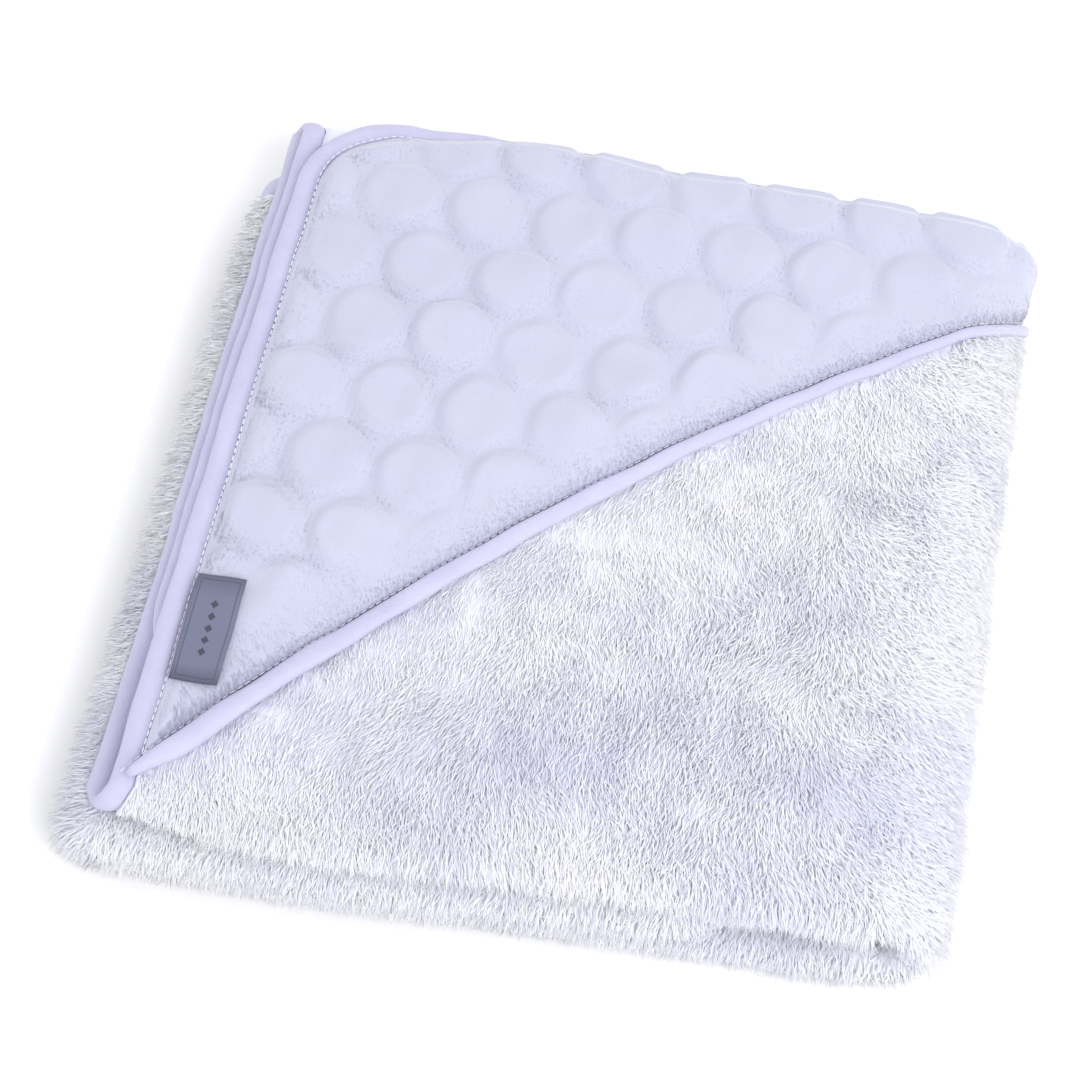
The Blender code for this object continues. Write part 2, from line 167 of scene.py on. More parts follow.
def mottle_group():
    tree, taken, given = new_group(
        "Mottle",
        [
            ("Vector", "NodeSocketVector", (0, 0, 0)),
            ("Light", "NodeSocketColor", (1, 1, 1, 1)),
            ("Shade", "NodeSocketColor", (0.8, 0.8, 0.9, 1)),
            ("Patch Size", "NodeSocketFloat", 60.0),
            ("Contrast", "NodeSocketFloat", 0.5),
        ],
        [("Color", "NodeSocketColor"), ("Mask", "NodeSocketFloat")],
    )
    noise = tree.nodes.new("ShaderNodeTexNoise")
    noise.inputs["Detail"].default_value = 3.0
    scaled = tree.nodes.new("ShaderNodeMath")
    scaled.operation = "MULTIPLY"
    mix = tree.nodes.new("ShaderNodeMix")
    mix.data_type = "RGBA"
    link = tree.links.new
    link(taken.outputs["Vector"], noise.inputs["Vector"])
    link(taken.outputs["Patch Size"], noise.inputs["Scale"])
    link(noise.outputs["Fac"], scaled.inputs[0])
    link(taken.outputs["Contrast"], scaled.inputs[1])
    link(scaled.outputs[0], mix.inputs["Factor"])
    link(taken.outputs["Light"], mix.inputs["A"])
    link(taken.outputs["Shade"], mix.inputs["B"])
    link(mix.outputs["Result"], given.inputs["Color"])
    link(noise.outputs["Fac"], given.inputs["Mask"])
    return tree


def weave_group():
    tree, taken, given = new_group(
        "Weave",
        [
            ("Vector", "NodeSocketVector", (0, 0, 0)),
            ("Ribs", "NodeSocketFloat", 1600.0),
            ("Stretch", "NodeSocketFloat", 0.2),
        ],
        [("Height", "NodeSocketFloat")],
    )
    wave = tree.nodes.new("ShaderNodeTexWave")
    wave.inputs["Distortion"].default_value = 1.5
    wave.inputs["Detail"].default_value = 1.0
    noise = tree.nodes.new("ShaderNodeTexNoise")
    noise.inputs["Scale"].default_value = 900.0
    blend = tree.nodes.new("ShaderNodeMix")
    link = tree.links.new
    link(taken.outputs["Vector"], wave.inputs["Vector"])
    link(taken.outputs["Vector"], noise.inputs["Vector"])
    link(taken.outputs["Ribs"], wave.inputs["Scale"])
    link(taken.outputs["Stretch"], blend.inputs["Factor"])
    link(wave.outputs["Fac"], blend.inputs["A"])
    link(noise.outputs["Fac"], blend.inputs["B"])
    link(blend.outputs["Result"], given.inputs["Height"])
    return tree


MOTTLE = mottle_group()
WEAVE = weave_group()
print("shader groups:", MOTTLE.name, WEAVE.name)

# %% [markdown]
# The pile is bleached white polyester with a lilac cast. A tuft is a little darker at its root,
# where its neighbours shade it. Its map holds, across, how deep in shade its patch of pile lies
# and, along, the way from root to tip, so the shade needs no other texture.

# %% The finishes
def new_finish(name, roughness, sheen=0.0):
    material = bpy.data.materials.new(name)
    material.use_nodes = True
    shader = material.node_tree.nodes["Principled BSDF"]
    shader.inputs["Roughness"].default_value = roughness
    shader.inputs["Specular IOR Level"].default_value = 0.3
    shader.inputs["Sheen Weight"].default_value = sheen
    shader.inputs["Sheen Roughness"].default_value = 0.5
    return material, shader, material.node_tree.nodes, material.node_tree.links.new


def object_vector(nodes):
    return nodes.new("ShaderNodeTexCoord").outputs["Object"]


def mottled(nodes, link, shader, light, shade, patches, contrast):
    group = nodes.new("ShaderNodeGroup")
    group.node_tree = MOTTLE
    link(object_vector(nodes), group.inputs["Vector"])
    group.inputs["Light"].default_value = (*light, 1)
    group.inputs["Shade"].default_value = (*shade, 1)
    group.inputs["Patch Size"].default_value = patches
    group.inputs["Contrast"].default_value = contrast
    link(group.outputs["Color"], shader.inputs["Base Color"])
    return group


def add_bump(nodes, link, shader, height, strength, distance):
    bump = nodes.new("ShaderNodeBump")
    bump.inputs["Strength"].default_value = strength
    bump.inputs["Distance"].default_value = distance
    link(height, bump.inputs["Height"])
    link(bump.outputs["Normal"], shader.inputs["Normal"])


def backing_finish():
    """Knitted ground the pile stands in; its darker lilac is painted shade among the tufts."""
    material, shader, nodes, link = new_finish("plush_ground", 0.95, 0.2)
    group = mottled(nodes, link, shader, (0.80, 0.81, 0.88), (0.70, 0.71, 0.82), 180.0, 0.6)
    add_bump(nodes, link, shader, group.outputs["Mask"], 0.6, 0.001)
    return material


def tuft_finish(name, tip, root):
    """Pile, shaded along each tuft through its own map."""
    material, shader, nodes, link = new_finish(name, 0.75, 0.35)
    place = nodes.new("ShaderNodeUVMap")
    place.uv_map = "OFBake"
    split = nodes.new("ShaderNodeSeparateXYZ")
    ramp = nodes.new("ShaderNodeValToRGB")
    ramp.color_ramp.elements[0].color = (*root, 1)
    ramp.color_ramp.elements[0].position = 0.0
    ramp.color_ramp.elements[1].color = (*tip, 1)
    ramp.color_ramp.elements[1].position = 0.55
    vary = nodes.new("ShaderNodeMix")
    vary.data_type = "RGBA"
    vary.blend_type = "MULTIPLY"
    vary.inputs["B"].default_value = (0.80, 0.805, 0.925, 1)
    link(place.outputs["UV"], split.inputs["Vector"])
    link(split.outputs["Y"], ramp.inputs["Fac"])
    link(split.outputs["X"], vary.inputs["Factor"])
    link(ramp.outputs["Color"], vary.inputs["A"])
    link(vary.outputs["Result"], shader.inputs["Base Color"])
    return material


def satin_finish():
    material, shader, nodes, link = new_finish("satin_tape", 0.38, 0.15)
    shader.inputs["Anisotropic"].default_value = 0.4
    mottled(nodes, link, shader, (0.60, 0.585, 0.76), (0.47, 0.45, 0.66), 90.0, 0.6)
    ribs = nodes.new("ShaderNodeGroup")
    ribs.node_tree = WEAVE
    link(object_vector(nodes), ribs.inputs["Vector"])
    creases = nodes.new("ShaderNodeTexNoise")
    creases.inputs["Scale"].default_value = 170.0
    creases.inputs["Detail"].default_value = 2.0
    creases.inputs["Distortion"].default_value = 0.6
    link(object_vector(nodes), creases.inputs["Vector"])
    total = nodes.new("ShaderNodeMath")
    total.operation = "MULTIPLY_ADD"
    total.inputs[1].default_value = 0.12
    link(ribs.outputs["Height"], total.inputs[0])
    link(creases.outputs["Fac"], total.inputs[2])
    add_bump(nodes, link, shader, total.outputs[0], 0.5, 0.0016)
    return material


def thread_finish():
    material, shader, nodes, link = new_finish("sewing_thread", 0.5, 0.1)
    mottled(nodes, link, shader, (0.74, 0.75, 0.87), (0.62, 0.63, 0.80), 400.0, 0.6)
    return material


def velour_finish():
    material, shader, nodes, link = new_finish("bubble_velour", 0.85, 0.6)
    group = mottled(nodes, link, shader, (0.50, 0.51, 0.625), (0.44, 0.45, 0.585), 45.0, 0.6)
    noise = nodes.new("ShaderNodeTexNoise")
    noise.inputs["Scale"].default_value = 1400.0
    noise.inputs["Detail"].default_value = 2.0
    link(object_vector(nodes), noise.inputs["Vector"])
    add_bump(nodes, link, shader, noise.outputs["Fac"], 0.5, 0.0004)
    return material


GROUND = backing_finish()
PILE = tuft_finish("plush_pile", (0.95, 0.955, 0.98), (0.84, 0.85, 0.955))
NAP = tuft_finish("velour_nap", (0.51, 0.52, 0.625), (0.475, 0.485, 0.595))
SATIN = satin_finish()
THREAD = thread_finish()
VELOUR = velour_finish()
print("finishes:", [m.name for m in (GROUND, PILE, NAP, SATIN, THREAD, VELOUR)])

# %% [markdown]
# ## The cloth
# Each third of the towel is a cloth folded in three again: a top layer, a turn at the front, a
# lower layer, a small turn at the back, and a layer tucked between them. A path of stations
# follows the middle of the cloth round those turns at the strip's left end and at its right end,
# and the cloth is a grid between the two paths, with a thickness. So its area is that of the cut.

# %% Paths through a folded strip
CLOTH = 0.0026  # the knitted ground with the pressed foot of the pile
TURN = THIRD / 2 - PLY / 2
PAIR = 2 * PLY + PLY_GAP
FOLD = PAIR / 2 - PLY / 2
CLOTH_CORNER = CORNER - TAPE_WIDTH - GAP


def strip_path(front, back, edge, tucked_end):
    """Stations at one end of a strip: y, height, normal in y and height, row, and corner inset."""
    near, far = front + THIRD / 2, back - PAIR / 2
    stations = []

    def add(y, height, ny, nz, row, inset=0.0):
        stations.append((y, height, ny, nz, row, inset))

    def corner(y, sign, row, height, angles):
        for a in angles:
            inset = CLOTH_CORNER * (1 - math.cos(a))
            add(y - sign * CLOTH_CORNER * (1 - math.sin(a)), height, 0.0, 1.0, row, inset)

    corner(edge, 1, 0.0, THIRD - PLY / 2, np.radians(np.arange(88, 0, -8)))
    for y in np.linspace(edge - CLOTH_CORNER, near, 46)[:-1]:
        add(y, THIRD - PLY / 2, 0.0, 1.0, 0.0)
    for t in np.linspace(0, 1, 13):
        a = math.pi / 2 + math.pi * t
        add(near + TURN * math.cos(a), THIRD / 2 + TURN * math.sin(a), math.cos(a), math.sin(a), t)
    for y in np.linspace(near, far, 50)[1:-1]:
        add(y, PLY / 2, 0.0, -1.0, 1.0)
    for t in np.linspace(0, 1, 9):
        a = -math.pi / 2 + math.pi * t
        add(far + FOLD * math.cos(a), PAIR / 2 + FOLD * math.sin(a),
            math.cos(a), math.sin(a), 1 + t)
    for y in np.linspace(far, tucked_end + CLOTH_CORNER, 40)[1:]:
        add(y, PAIR - PLY / 2, 0.0, 1.0, 2.0)
    corner(tucked_end, -1, 2.0, PAIR - PLY / 2, np.radians(np.arange(8, 89, 8)))
    return np.array(stations)


def turned(path, low, facing):
    """The path at its real height, upside down where the strip faces the floor."""
    placed = path.copy()
    if facing < 0:
        placed[:, 1] = THIRD - placed[:, 1]
        placed[:, 3] *= -1
    placed[:, 1] += low
    return placed


def end_points(path, rows_x, inward, rounded):
    """Points and normals along one end, whose x differs from row to row."""
    x = np.interp(path[:, 4], (0, 1, 2), rows_x) + inward * rounded * path[:, 5]
    points = np.stack([x, path[:, 0], path[:, 1]], axis=1)
    normals = np.stack([np.zeros(len(path)), path[:, 2], path[:, 3]], axis=1)
    return points, normals


def between_ends(left, right, count):
    share = np.linspace(0, 1, count)[None, :, None]
    points = left[0][:, None, :] * (1 - share) + right[0][:, None, :] * share
    normals = left[1][:, None, :] * (1 - share) + right[1][:, None, :] * share
    return points, normals / np.linalg.norm(normals, axis=2, keepdims=True)


def mesh_piece(name, verts, faces, material):
    mesh = bpy.data.meshes.new(name)
    mesh.from_pydata(np.asarray(verts).tolist(), [], [list(map(int, f)) for f in faces])
    form = bmesh.new()
    form.from_mesh(mesh)
    bmesh.ops.recalc_face_normals(form, faces=form.faces)
    form.to_mesh(mesh)
    form.free()
    mesh.shade_smooth()
    mesh.materials.append(material)
    piece = bpy.data.objects.new(name, mesh)
    bpy.context.scene.collection.objects.link(piece)
    return piece


def grid_faces(rows, columns, start=0):
    index = start + np.arange(rows * columns).reshape(rows, columns)
    a, b, c, d = index[:-1, :-1], index[:-1, 1:], index[1:, 1:], index[1:, :-1]
    return np.stack([a, b, c, d], axis=-1).reshape(-1, 4)


def sheet_piece(name, outer, inner, material):
    """A closed sheet between two equal grids of points."""
    rows, columns, _ = outer.shape
    verts = settle(np.concatenate([outer.reshape(-1, 3), inner.reshape(-1, 3)]))
    under = rows * columns
    index = np.arange(under).reshape(rows, columns)
    rim = [*index[0, :-1], *index[:-1, -1], *index[-1, :0:-1], *index[:0:-1, 0]]
    sides = [(b, a, a + under, b + under) for a, b in zip(rim, rim[1:] + rim[:1])]
    faces = [*grid_faces(rows, columns), *grid_faces(rows, columns, under)[:, ::-1], *sides]
    return mesh_piece(name, verts, faces, material)


def cloth_piece(name, middle, normals, material):
    outer, inner = middle + normals * CLOTH / 2, middle - normals * CLOTH / 2
    return sheet_piece(name, outer, inner, material)


# %% [markdown]
# The lower thirds lie a little askew under the top third, as they do when a soft towel is folded
# by hand: their front folds stand out at the front, more at the left than at the right, and
# their back edges stop short at the left.

# %% Cut and fold the three strips
top_front, lower_front = top_low.y, bottom_low.y
cloth_back = top_high.y
cloth_edge = BACK_Y - TAPE_WIDTH - GAP
row_length = cloth_back - top_front - THIRD / 2
tucked_gap = 0.036  # the tucked layer stops this far before the front fold
wide_back = left_high.y
lower_right_front = right_low.y


def tucked_end(back):
    return back - PAIR / 2 - (row_length - 2 * (BACK_Y - cloth_back) - tucked_gap)


lower_back = cloth_back - (cloth_edge - wide_back)
top_left_path = turned(strip_path(top_front, cloth_back, cloth_edge, tucked_end(cloth_back)),
                       top_low.z, 1)
top_right_path = turned(strip_path(top_front + FRONT_SKEW, cloth_back, cloth_edge,
                                   tucked_end(cloth_back)), top_low.z, 1)
low_left = strip_path(lower_front, lower_back, wide_back, tucked_end(lower_back))
low_right = strip_path(lower_right_front, cloth_back, cloth_edge, tucked_end(cloth_back))

cloth_left = TAPE_LEFT + TAPE_WIDTH + GAP
top_rows = (cloth_left, cloth_left - EDGE_STAGGER, cloth_left - EDGE_STAGGER / 2)
top_grid = between_ends(
    end_points(top_left_path, top_rows, 1, 1),
    end_points(top_right_path, (RIGHT_X,) * 3, -1, 0), 50)
bottom_grid = between_ends(
    end_points(turned(low_left, 0.0, -1), (LEFT_X,) * 3, 1, 0),
    end_points(turned(low_right, 0.0, -1), (RIGHT_X,) * 3, -1, 0), 50)
tuck_x = tucked_high.x
share = (tuck_x - LEFT_X) / (RIGHT_X - LEFT_X)
low_tuck = low_left * (1 - share) + low_right * share
tucked_grid = between_ends(
    end_points(turned(low_left, tucked_low.z, 1), (LEFT_X,) * 3, 1, 0),
    end_points(turned(low_tuck, tucked_low.z, 1), (tuck_x,) * 3, -1, 1), 44)



def draw_in(points):
    """The tucked third's front corner is drawn in at the right, out of sight in the fold."""
    moved = np.array(points, float)
    x, y = moved[..., 0], moved[..., 1]
    across, ahead = np.clip((x - 0.050) / 0.035, 0, 1), np.clip((-0.070 - y) / 0.045, 0, 1)
    moved[..., 1] += 0.011 * across**2 * (3 - 2 * across) * ahead**2 * (3 - 2 * ahead)
    return moved


tucked_grid = (draw_in(tucked_grid[0]), tucked_grid[1])
top_cloth = cloth_piece("plush_top_third", *top_grid, GROUND)
bottom_cloth = cloth_piece("plush_bottom_third", *bottom_grid, GROUND)
tucked_cloth = cloth_piece("plush_tucked_third", *tucked_grid, GROUND)


def path_length(grid):
    """The cut length of a strip, along the middle of its cloth."""
    middle = grid[0][:, grid[0].shape[1] // 2]
    return float(np.linalg.norm(np.diff(middle, axis=0), axis=1).sum())


print("a third is cut to, mm:", round(1000 * (RIGHT_X - cloth_left)),
      round(1000 * path_length(top_grid)))

# %% [markdown]
# The side folds are the same three layers turned round a half circle. At the left the turn is
# shut for good, so one sheet follows the whole path. At the right the towel opens, so each layer
# is a sheet of its own.

# %% The side folds
def round_fold(path, centre_x, radius, side, angles, path_at_top=None):
    """Middle and normals of a strip's path swept round a side fold.

    A second path gives the depths where the fold arrives at the top, if they differ there.
    """
    spokes = np.stack([side * np.cos(angles), np.zeros_like(angles), np.sin(angles)], axis=1)
    reach = radius - path[:, 1]
    middle = np.array([centre_x, 0.0, radius]) + reach[:, None, None] * spokes[None]
    height_share = ((np.sin(angles) + 1) / 2)[None, :]
    at_top = path if path_at_top is None else path_at_top
    low, high = path[:, 0][:, None], at_top[:, 0][:, None]
    middle[:, :, 1] = low * (1 - height_share) + high * height_share
    normals = -path[:, 3][:, None, None] * spokes[None]
    normals[:, :, 1] = path[:, 2][:, None]
    return middle, normals


def flat_path(path):
    """The path with its depth measured in from the fold's outer side."""
    inward = path.copy()
    inward[:, 1] = THIRD - path[:, 1]
    inward[:, 3] = -path[:, 3]
    return inward


half_turn = np.linspace(-math.pi / 2, math.pi / 2, 17)
LEFT_RADIUS = left_high.z / 2
RIGHT_RADIUS = right_high.z / 2
left_path = flat_path(low_left)
left_grid = round_fold(left_path, LEFT_X, LEFT_RADIUS, -1, half_turn)
left_cloth = cloth_piece("plush_left_fold", *left_grid, GROUND)

right_path = flat_path(low_right)
right_top = flat_path(strip_path(top_front + FRONT_SKEW, cloth_back, cloth_edge,
                                 tucked_end(cloth_back)))
rows = right_path[:, 4]
fine_turn = np.linspace(-math.pi / 2, math.pi / 2, 33)
right_parts = (("outer", rows <= 0.5), ("inner", (rows >= 0.5) & (rows <= 1.5)),
               ("middle", rows >= 1.5))
right_grids, right_cloths = {}, {}
for part, chosen in right_parts:
    grid = round_fold(right_path[chosen], RIGHT_X, RIGHT_RADIUS, 1, fine_turn, right_top[chosen])
    right_grids[part] = grid
    right_cloths[part] = cloth_piece("plush_right_fold_" + part, *grid, GROUND)
PLY_RADIUS = {
    "outer": RIGHT_RADIUS - PLY / 2,
    "middle": RIGHT_RADIUS - THIRD + PAIR - PLY / 2,
    "inner": RIGHT_RADIUS - THIRD + PLY / 2,
}
print("fold radii, mm:", {k: round(1000 * v, 1) for k, v in PLY_RADIUS.items()})

# %% [markdown]
# ## The hood
# The hood is a second cloth, a triangle of velour with round bubbles pressed into it, 30 mm apart
# in a honeycomb. Its slanting edge is cut with a slight bow. The bow runs on over the right fold,
# so the cloth is laid out flat first, as (u, v), and whatever lies past the fold is wrapped
# round it.

# %% The hood's cut
BUBBLE_PITCH = 0.030
BUBBLE_RADIUS = 0.0155
BUBBLE_FLANK = 0.0050
BUBBLE_HEIGHT = 0.0025
BUBBLE_VALLEY = 0.0006  # how much nearer two bubbles' flanks come where they meet
HOOD_REST = 0.0022  # the velour's own thickness
HOOD_BASE = RIGHT_RADIUS + 0.0004

thread_low, thread_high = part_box("hood_edge_thread")
chord_start = np.array([HOOD_LEFT, hood_low.y])
chord_end = np.array([hood_high.x, thread_high.y])
chord = chord_end - chord_start
chord_length = float(np.linalg.norm(chord))
chord_way = chord / chord_length
front_way = np.array([chord_way[1], -chord_way[0]])
SLANT_RADIUS = chord_length**2 / (8 * HOOD_BOW) + HOOD_BOW / 2
slant_centre = (chord_start + chord_end) / 2 + front_way * (SLANT_RADIUS - HOOD_BOW)
hood_back = hood_high.y
HOOD_CORNER = CORNER - TAPE_WIDTH - GROOVE
BACK_COVER = 0.0082  # how far the puffed cloth lies over the back binding


def before_slant(u, v):
    """How far a flat point lies in front of the slanting edge; negative under the hood."""
    return SLANT_RADIUS - np.hypot(u - slant_centre[0], v - slant_centre[1])


def back_edge(u):
    """Where the hood ends at the back: beside the binding at the corner, and over it after."""
    t = np.clip((u + 0.100) / 0.065, 0, 1)
    return hood_back + BACK_COVER * t * t * (3 - 2 * t)


def slant_v(u):
    drop = np.maximum(SLANT_RADIUS**2 - (u - slant_centre[0]) ** 2, 0)
    return slant_centre[1] + np.sqrt(drop)


def wrap(u, v, height):
    """From flat cloth, and a height above it, to its place on the folded towel."""
    turn = np.maximum(u - RIGHT_X, 0) / HOOD_BASE
    reach = HOOD_BASE + height
    x = np.where(turn > 0, RIGHT_X + reach * np.sin(turn), u)
    z = RIGHT_RADIUS + reach * np.cos(turn)
    return np.stack([x, v, z], axis=-1)


slant_u = np.linspace(RIGHT_X, RIGHT_X + 0.1, 400)
HOOD_TIP = float(slant_u[np.argmax(slant_v(slant_u) > back_edge(slant_u) - 0.002)])
print("hood reaches past the fold, mm:", round(1000 * (HOOD_TIP - RIGHT_X), 1))

# %% [markdown]
# A bubble is a flat-topped disc with a soft flank. The bubbles fade out towards the slanting edge,
# where the cloth is pulled tight by its seam, and the cloth rolls down into the seam all round.

# %% Press the bubbles
label_low, label_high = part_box("side_label")
label_middle = (label_low.y + label_high.y) / 2
bubble_start = np.array([HOOD_LEFT + 0.0745, hood_back - 0.0525])
hood_drape = waves(31, 6, 0.11, 0.03)
hood_warp = waves(32, 6, 0.08, 0.02)
hood_puff = waves(33, 5, 0.09, 0.025)


def smooth(t):
    t = np.clip(t, 0, 1)
    return t * t * (3 - 2 * t)


def bubble_field(u, v):
    """How much of a bubble's full height stands at each flat point."""
    row_gap = BUBBLE_PITCH * math.sqrt(3) / 2
    u, v = u + 0.0030 * hood_warp(u, v), v + 0.0030 * hood_warp(v + 0.3, u)
    nearest = np.full(np.shape(u), 1.0)
    next_nearest = nearest.copy()
    row = np.round((v - bubble_start[1]) / row_gap)
    for step in (-1, 0, 1):
        at = row + step
        shift = np.mod(at, 2) * BUBBLE_PITCH / 2
        column = np.round((u - bubble_start[0] - shift) / BUBBLE_PITCH)
        for beside in (-1, 0, 1):
            du = u - bubble_start[0] - shift - (column + beside) * BUBBLE_PITCH
            dv = v - bubble_start[1] - at * row_gap
            away = np.hypot(du, dv)
            next_nearest = np.minimum(next_nearest, np.maximum(nearest, away))
            nearest = np.minimum(nearest, away)
    to_rim = np.minimum((next_nearest - nearest) / 2 + BUBBLE_VALLEY, BUBBLE_RADIUS - nearest)
    return smooth(to_rim / BUBBLE_FLANK)


def hood_edge_distance(u, v):
    """Distance in from the hood's nearest edge."""
    side = np.minimum(u - HOOD_LEFT, back_edge(u) - v)
    cu, cv = HOOD_LEFT + HOOD_CORNER, hood_back - HOOD_CORNER
    round_side = HOOD_CORNER - np.hypot(u - cu, v - cv)
    in_corner = (u < cu) & (v > cv)
    return np.minimum(np.where(in_corner, round_side, side), -before_slant(u, v))


def hood_height(u, v):
    from_slant = -before_slant(u, v)
    edge = hood_edge_distance(u, v)
    fade = smooth((from_slant - 0.004) / 0.022) * smooth(edge / 0.006)
    left_fade = 0.35 + 0.65 * smooth((v + 0.085) / 0.05)
    rise = BUBBLE_HEIGHT * bubble_field(u, v) * fade * left_fade * (1 + 0.9 * hood_puff(u, v))
    beside_label = np.maximum(u - HOOD_LEFT - 0.017, np.abs(v - label_middle) - 0.018)
    rise *= smooth(beside_label / 0.012)
    swell = 0.0008 * hood_drape(u, v) * smooth(edge / 0.02) * smooth(beside_label / 0.012)
    roll = -0.0016 * (1 - smooth(edge / 0.0045))
    return HOOD_REST + rise + swell + roll


corner_u = HOOD_LEFT + HOOD_CORNER * (1 - np.cos(np.linspace(0.02, math.pi / 2, 22)))
hood_u = np.concatenate([corner_u, np.arange(corner_u[-1] + 0.0014, HOOD_TIP, 0.0014)])
past_corner = np.maximum(HOOD_LEFT + HOOD_CORNER - hood_u, 0)
scallop = 0.0030 * (bubble_field(hood_u, back_edge(hood_u) - 0.003) - 0.6)
scallop *= smooth((hood_u + 0.055) / 0.03)
back_v = back_edge(hood_u) + scallop - HOOD_CORNER + np.sqrt(HOOD_CORNER**2 - past_corner**2)
front_v = slant_v(hood_u)
spread = np.linspace(0, 1, 128)[:, None]
hood_v = front_v[None, :] * (1 - spread) + back_v[None, :] * spread
hood_flat_u = np.broadcast_to(hood_u[None, :], hood_v.shape)
hood_top = wrap(hood_flat_u, hood_v, hood_height(hood_flat_u, hood_v))
hood_under = wrap(hood_flat_u, hood_v, np.full(hood_v.shape, 0.0001))
hood_cloth = sheet_piece("hood_velour", hood_top, hood_under, VELOUR)
print("hood grid:", hood_v.shape)

# %% [markdown]
# ## The satin bindings
# A satin tape is folded over every raw edge and sewn down, so its section is a soft, flattened
# tube. Sewing gathers it slightly, which shows as small puckers along its length.

# %% Sweep a tape along an edge
pucker = waves(41, 7, 0.05, 0.006)


def tube(name, path, ups, acrosses, width, height, material, sides=18, ruffle=0.11):
    """A closed tube of soft oval section along a path."""
    path, ups, acrosses = (np.asarray(part, float) for part in (path, ups, acrosses))
    width = np.broadcast_to(width, (len(path),))
    height = np.broadcast_to(height, (len(path),))
    steps = np.linalg.norm(np.diff(path, axis=0), axis=1)
    along = np.concatenate([[0], np.cumsum(steps)])[:, None]
    angle = np.linspace(0, math.tau, sides, endpoint=False)[None, :]
    swell = 1 + ruffle * 3 * pucker(along, 0.006 * np.sin(angle) + 0.3)
    side = np.cos(angle) * (width[:, None] / 2) * swell
    rise = np.sign(np.sin(angle)) * np.abs(np.sin(angle)) ** 0.8 * (height[:, None] / 2) * swell
    taper = np.ones(len(path))
    taper[0] = taper[-1] = 0.6
    ring = path[:, None, :] + taper[:, None, None] * (
        acrosses[:, None, :] * side[..., None] + ups[:, None, :] * rise[..., None])
    verts = settle(ring.reshape(-1, 3))
    index = np.arange(len(path) * sides).reshape(len(path), sides)
    after = np.roll(index, -1, axis=1)
    faces = np.stack([index[:-1], after[:-1], after[1:], index[1:]], axis=-1).reshape(-1, 4)
    caps = [list(index[0]), list(index[-1][::-1])]
    return mesh_piece(name, verts, [*faces, *caps], material)


def unit(vectors):
    vectors = np.asarray(vectors, float)
    return vectors / np.maximum(np.linalg.norm(vectors, axis=-1, keepdims=True), 1e-9)


def resample(points, spacing):
    """The same curve with evenly spaced stations; columns after the third ride along."""
    points = np.asarray(points, float)
    steps = np.linalg.norm(np.diff(points[:, :3], axis=0), axis=1)
    along = np.concatenate([[0], np.cumsum(steps)])
    wanted = np.linspace(0, along[-1], max(2, int(along[-1] / spacing)))
    return np.stack([np.interp(wanted, along, points[:, i]) for i in range(points.shape[1])], 1)


def edge_band(path, rows_x, inward, rounded, reach):
    """Stations of a binding: point, up and way across, along one end of a strip."""
    stations = []
    for (y, z, ny, nz, row, inset), x in zip(path, np.interp(path[:, 4], (0, 1, 2), rows_x)):
        a = math.acos(max(-1.0, 1 - inset / CLOTH_CORNER)) if rounded else 0.0
        sign = 1 if row < 1 else -1
        out = np.array([-inward * math.cos(a), sign * math.sin(a), 0.0])
        point = np.array([x + inward * rounded * inset, y, z]) + out * reach
        stations.append((*point, 0.0, ny, nz, *out))
    return np.array(stations)


TAPE_HEIGHT = 0.0046
REACH = GAP + TAPE_WIDTH / 2
band = edge_band(top_left_path, top_rows, 1, 1, REACH)
first, last = band[0].copy(), band[-1].copy()
first[0] = last[0] = RIGHT_X
first[6:9] = (0, 1, 0)
last[6:9] = (0, -1, 0)
band = resample(np.concatenate([[first], band, [last]]), 0.0016)
top_tape = tube("binding_top_third", band[:, :3], unit(band[:, 3:6]), unit(band[:, 6:9]),
                TAPE_WIDTH, TAPE_HEIGHT, SATIN)
print("binding of the top third, m:", round(len(band) * 0.0016, 2))

# %% Bindings of the lower thirds and the folds
def straight_band(name, start, end):
    line = resample([[*start], [*end]], 0.003)
    ups = np.tile((0.0, 0.0, 1.0), (len(line), 1))
    across = np.tile((0.0, 1.0, 0.0), (len(line), 1))
    return tube(name, line, ups, across, TAPE_WIDTH, TAPE_HEIGHT, SATIN)


band = edge_band(turned(low_tuck, tucked_low.z, 1), (tuck_x,) * 3, -1, 1, REACH)
first = band[0].copy()
first[0], first[1] = LEFT_X, wide_back + REACH
first[6:9] = (0, 1, 0)
band = resample(np.concatenate([[first], band]), 0.003)
tucked_tape = tube("binding_tucked_third", draw_in(band[:, :3]), unit(band[:, 3:6]),
                   unit(band[:, 6:9]), TAPE_WIDTH, TAPE_HEIGHT, SATIN)
bottom_tape = straight_band("binding_bottom_third", (LEFT_X, wide_back + REACH, PLY / 2),
                            (RIGHT_X, cloth_edge + REACH, PLY / 2))


def fold_band(name, centre_x, radius, side, y):
    angles = np.linspace(-math.pi / 2, math.pi / 2, 33)
    spokes = np.stack([side * np.cos(angles), 0 * angles, np.sin(angles)], axis=1)
    line = np.array([centre_x, y, radius]) + spokes * (radius - PLY / 2)
    across = np.tile((0.0, 1.0, 0.0), (len(line), 1))
    return tube(name, line, spokes, across, TAPE_WIDTH, TAPE_HEIGHT, SATIN)


left_tape = fold_band("binding_left_fold", LEFT_X, LEFT_RADIUS, -1, wide_back + REACH)
right_tape = fold_band("binding_right_fold", RIGHT_X, RIGHT_RADIUS, 1, cloth_edge + REACH)

# %% [markdown]
# The hood's own tape follows the slanting edge and goes on over the right fold with it. It is
# widest at the left, where it is caught under the side binding, and is pulled narrower to the
# right.

# %% The slanting binding
slant_line_u = np.arange(HOOD_LEFT - 0.0055, HOOD_TIP + 0.004, 0.0016)


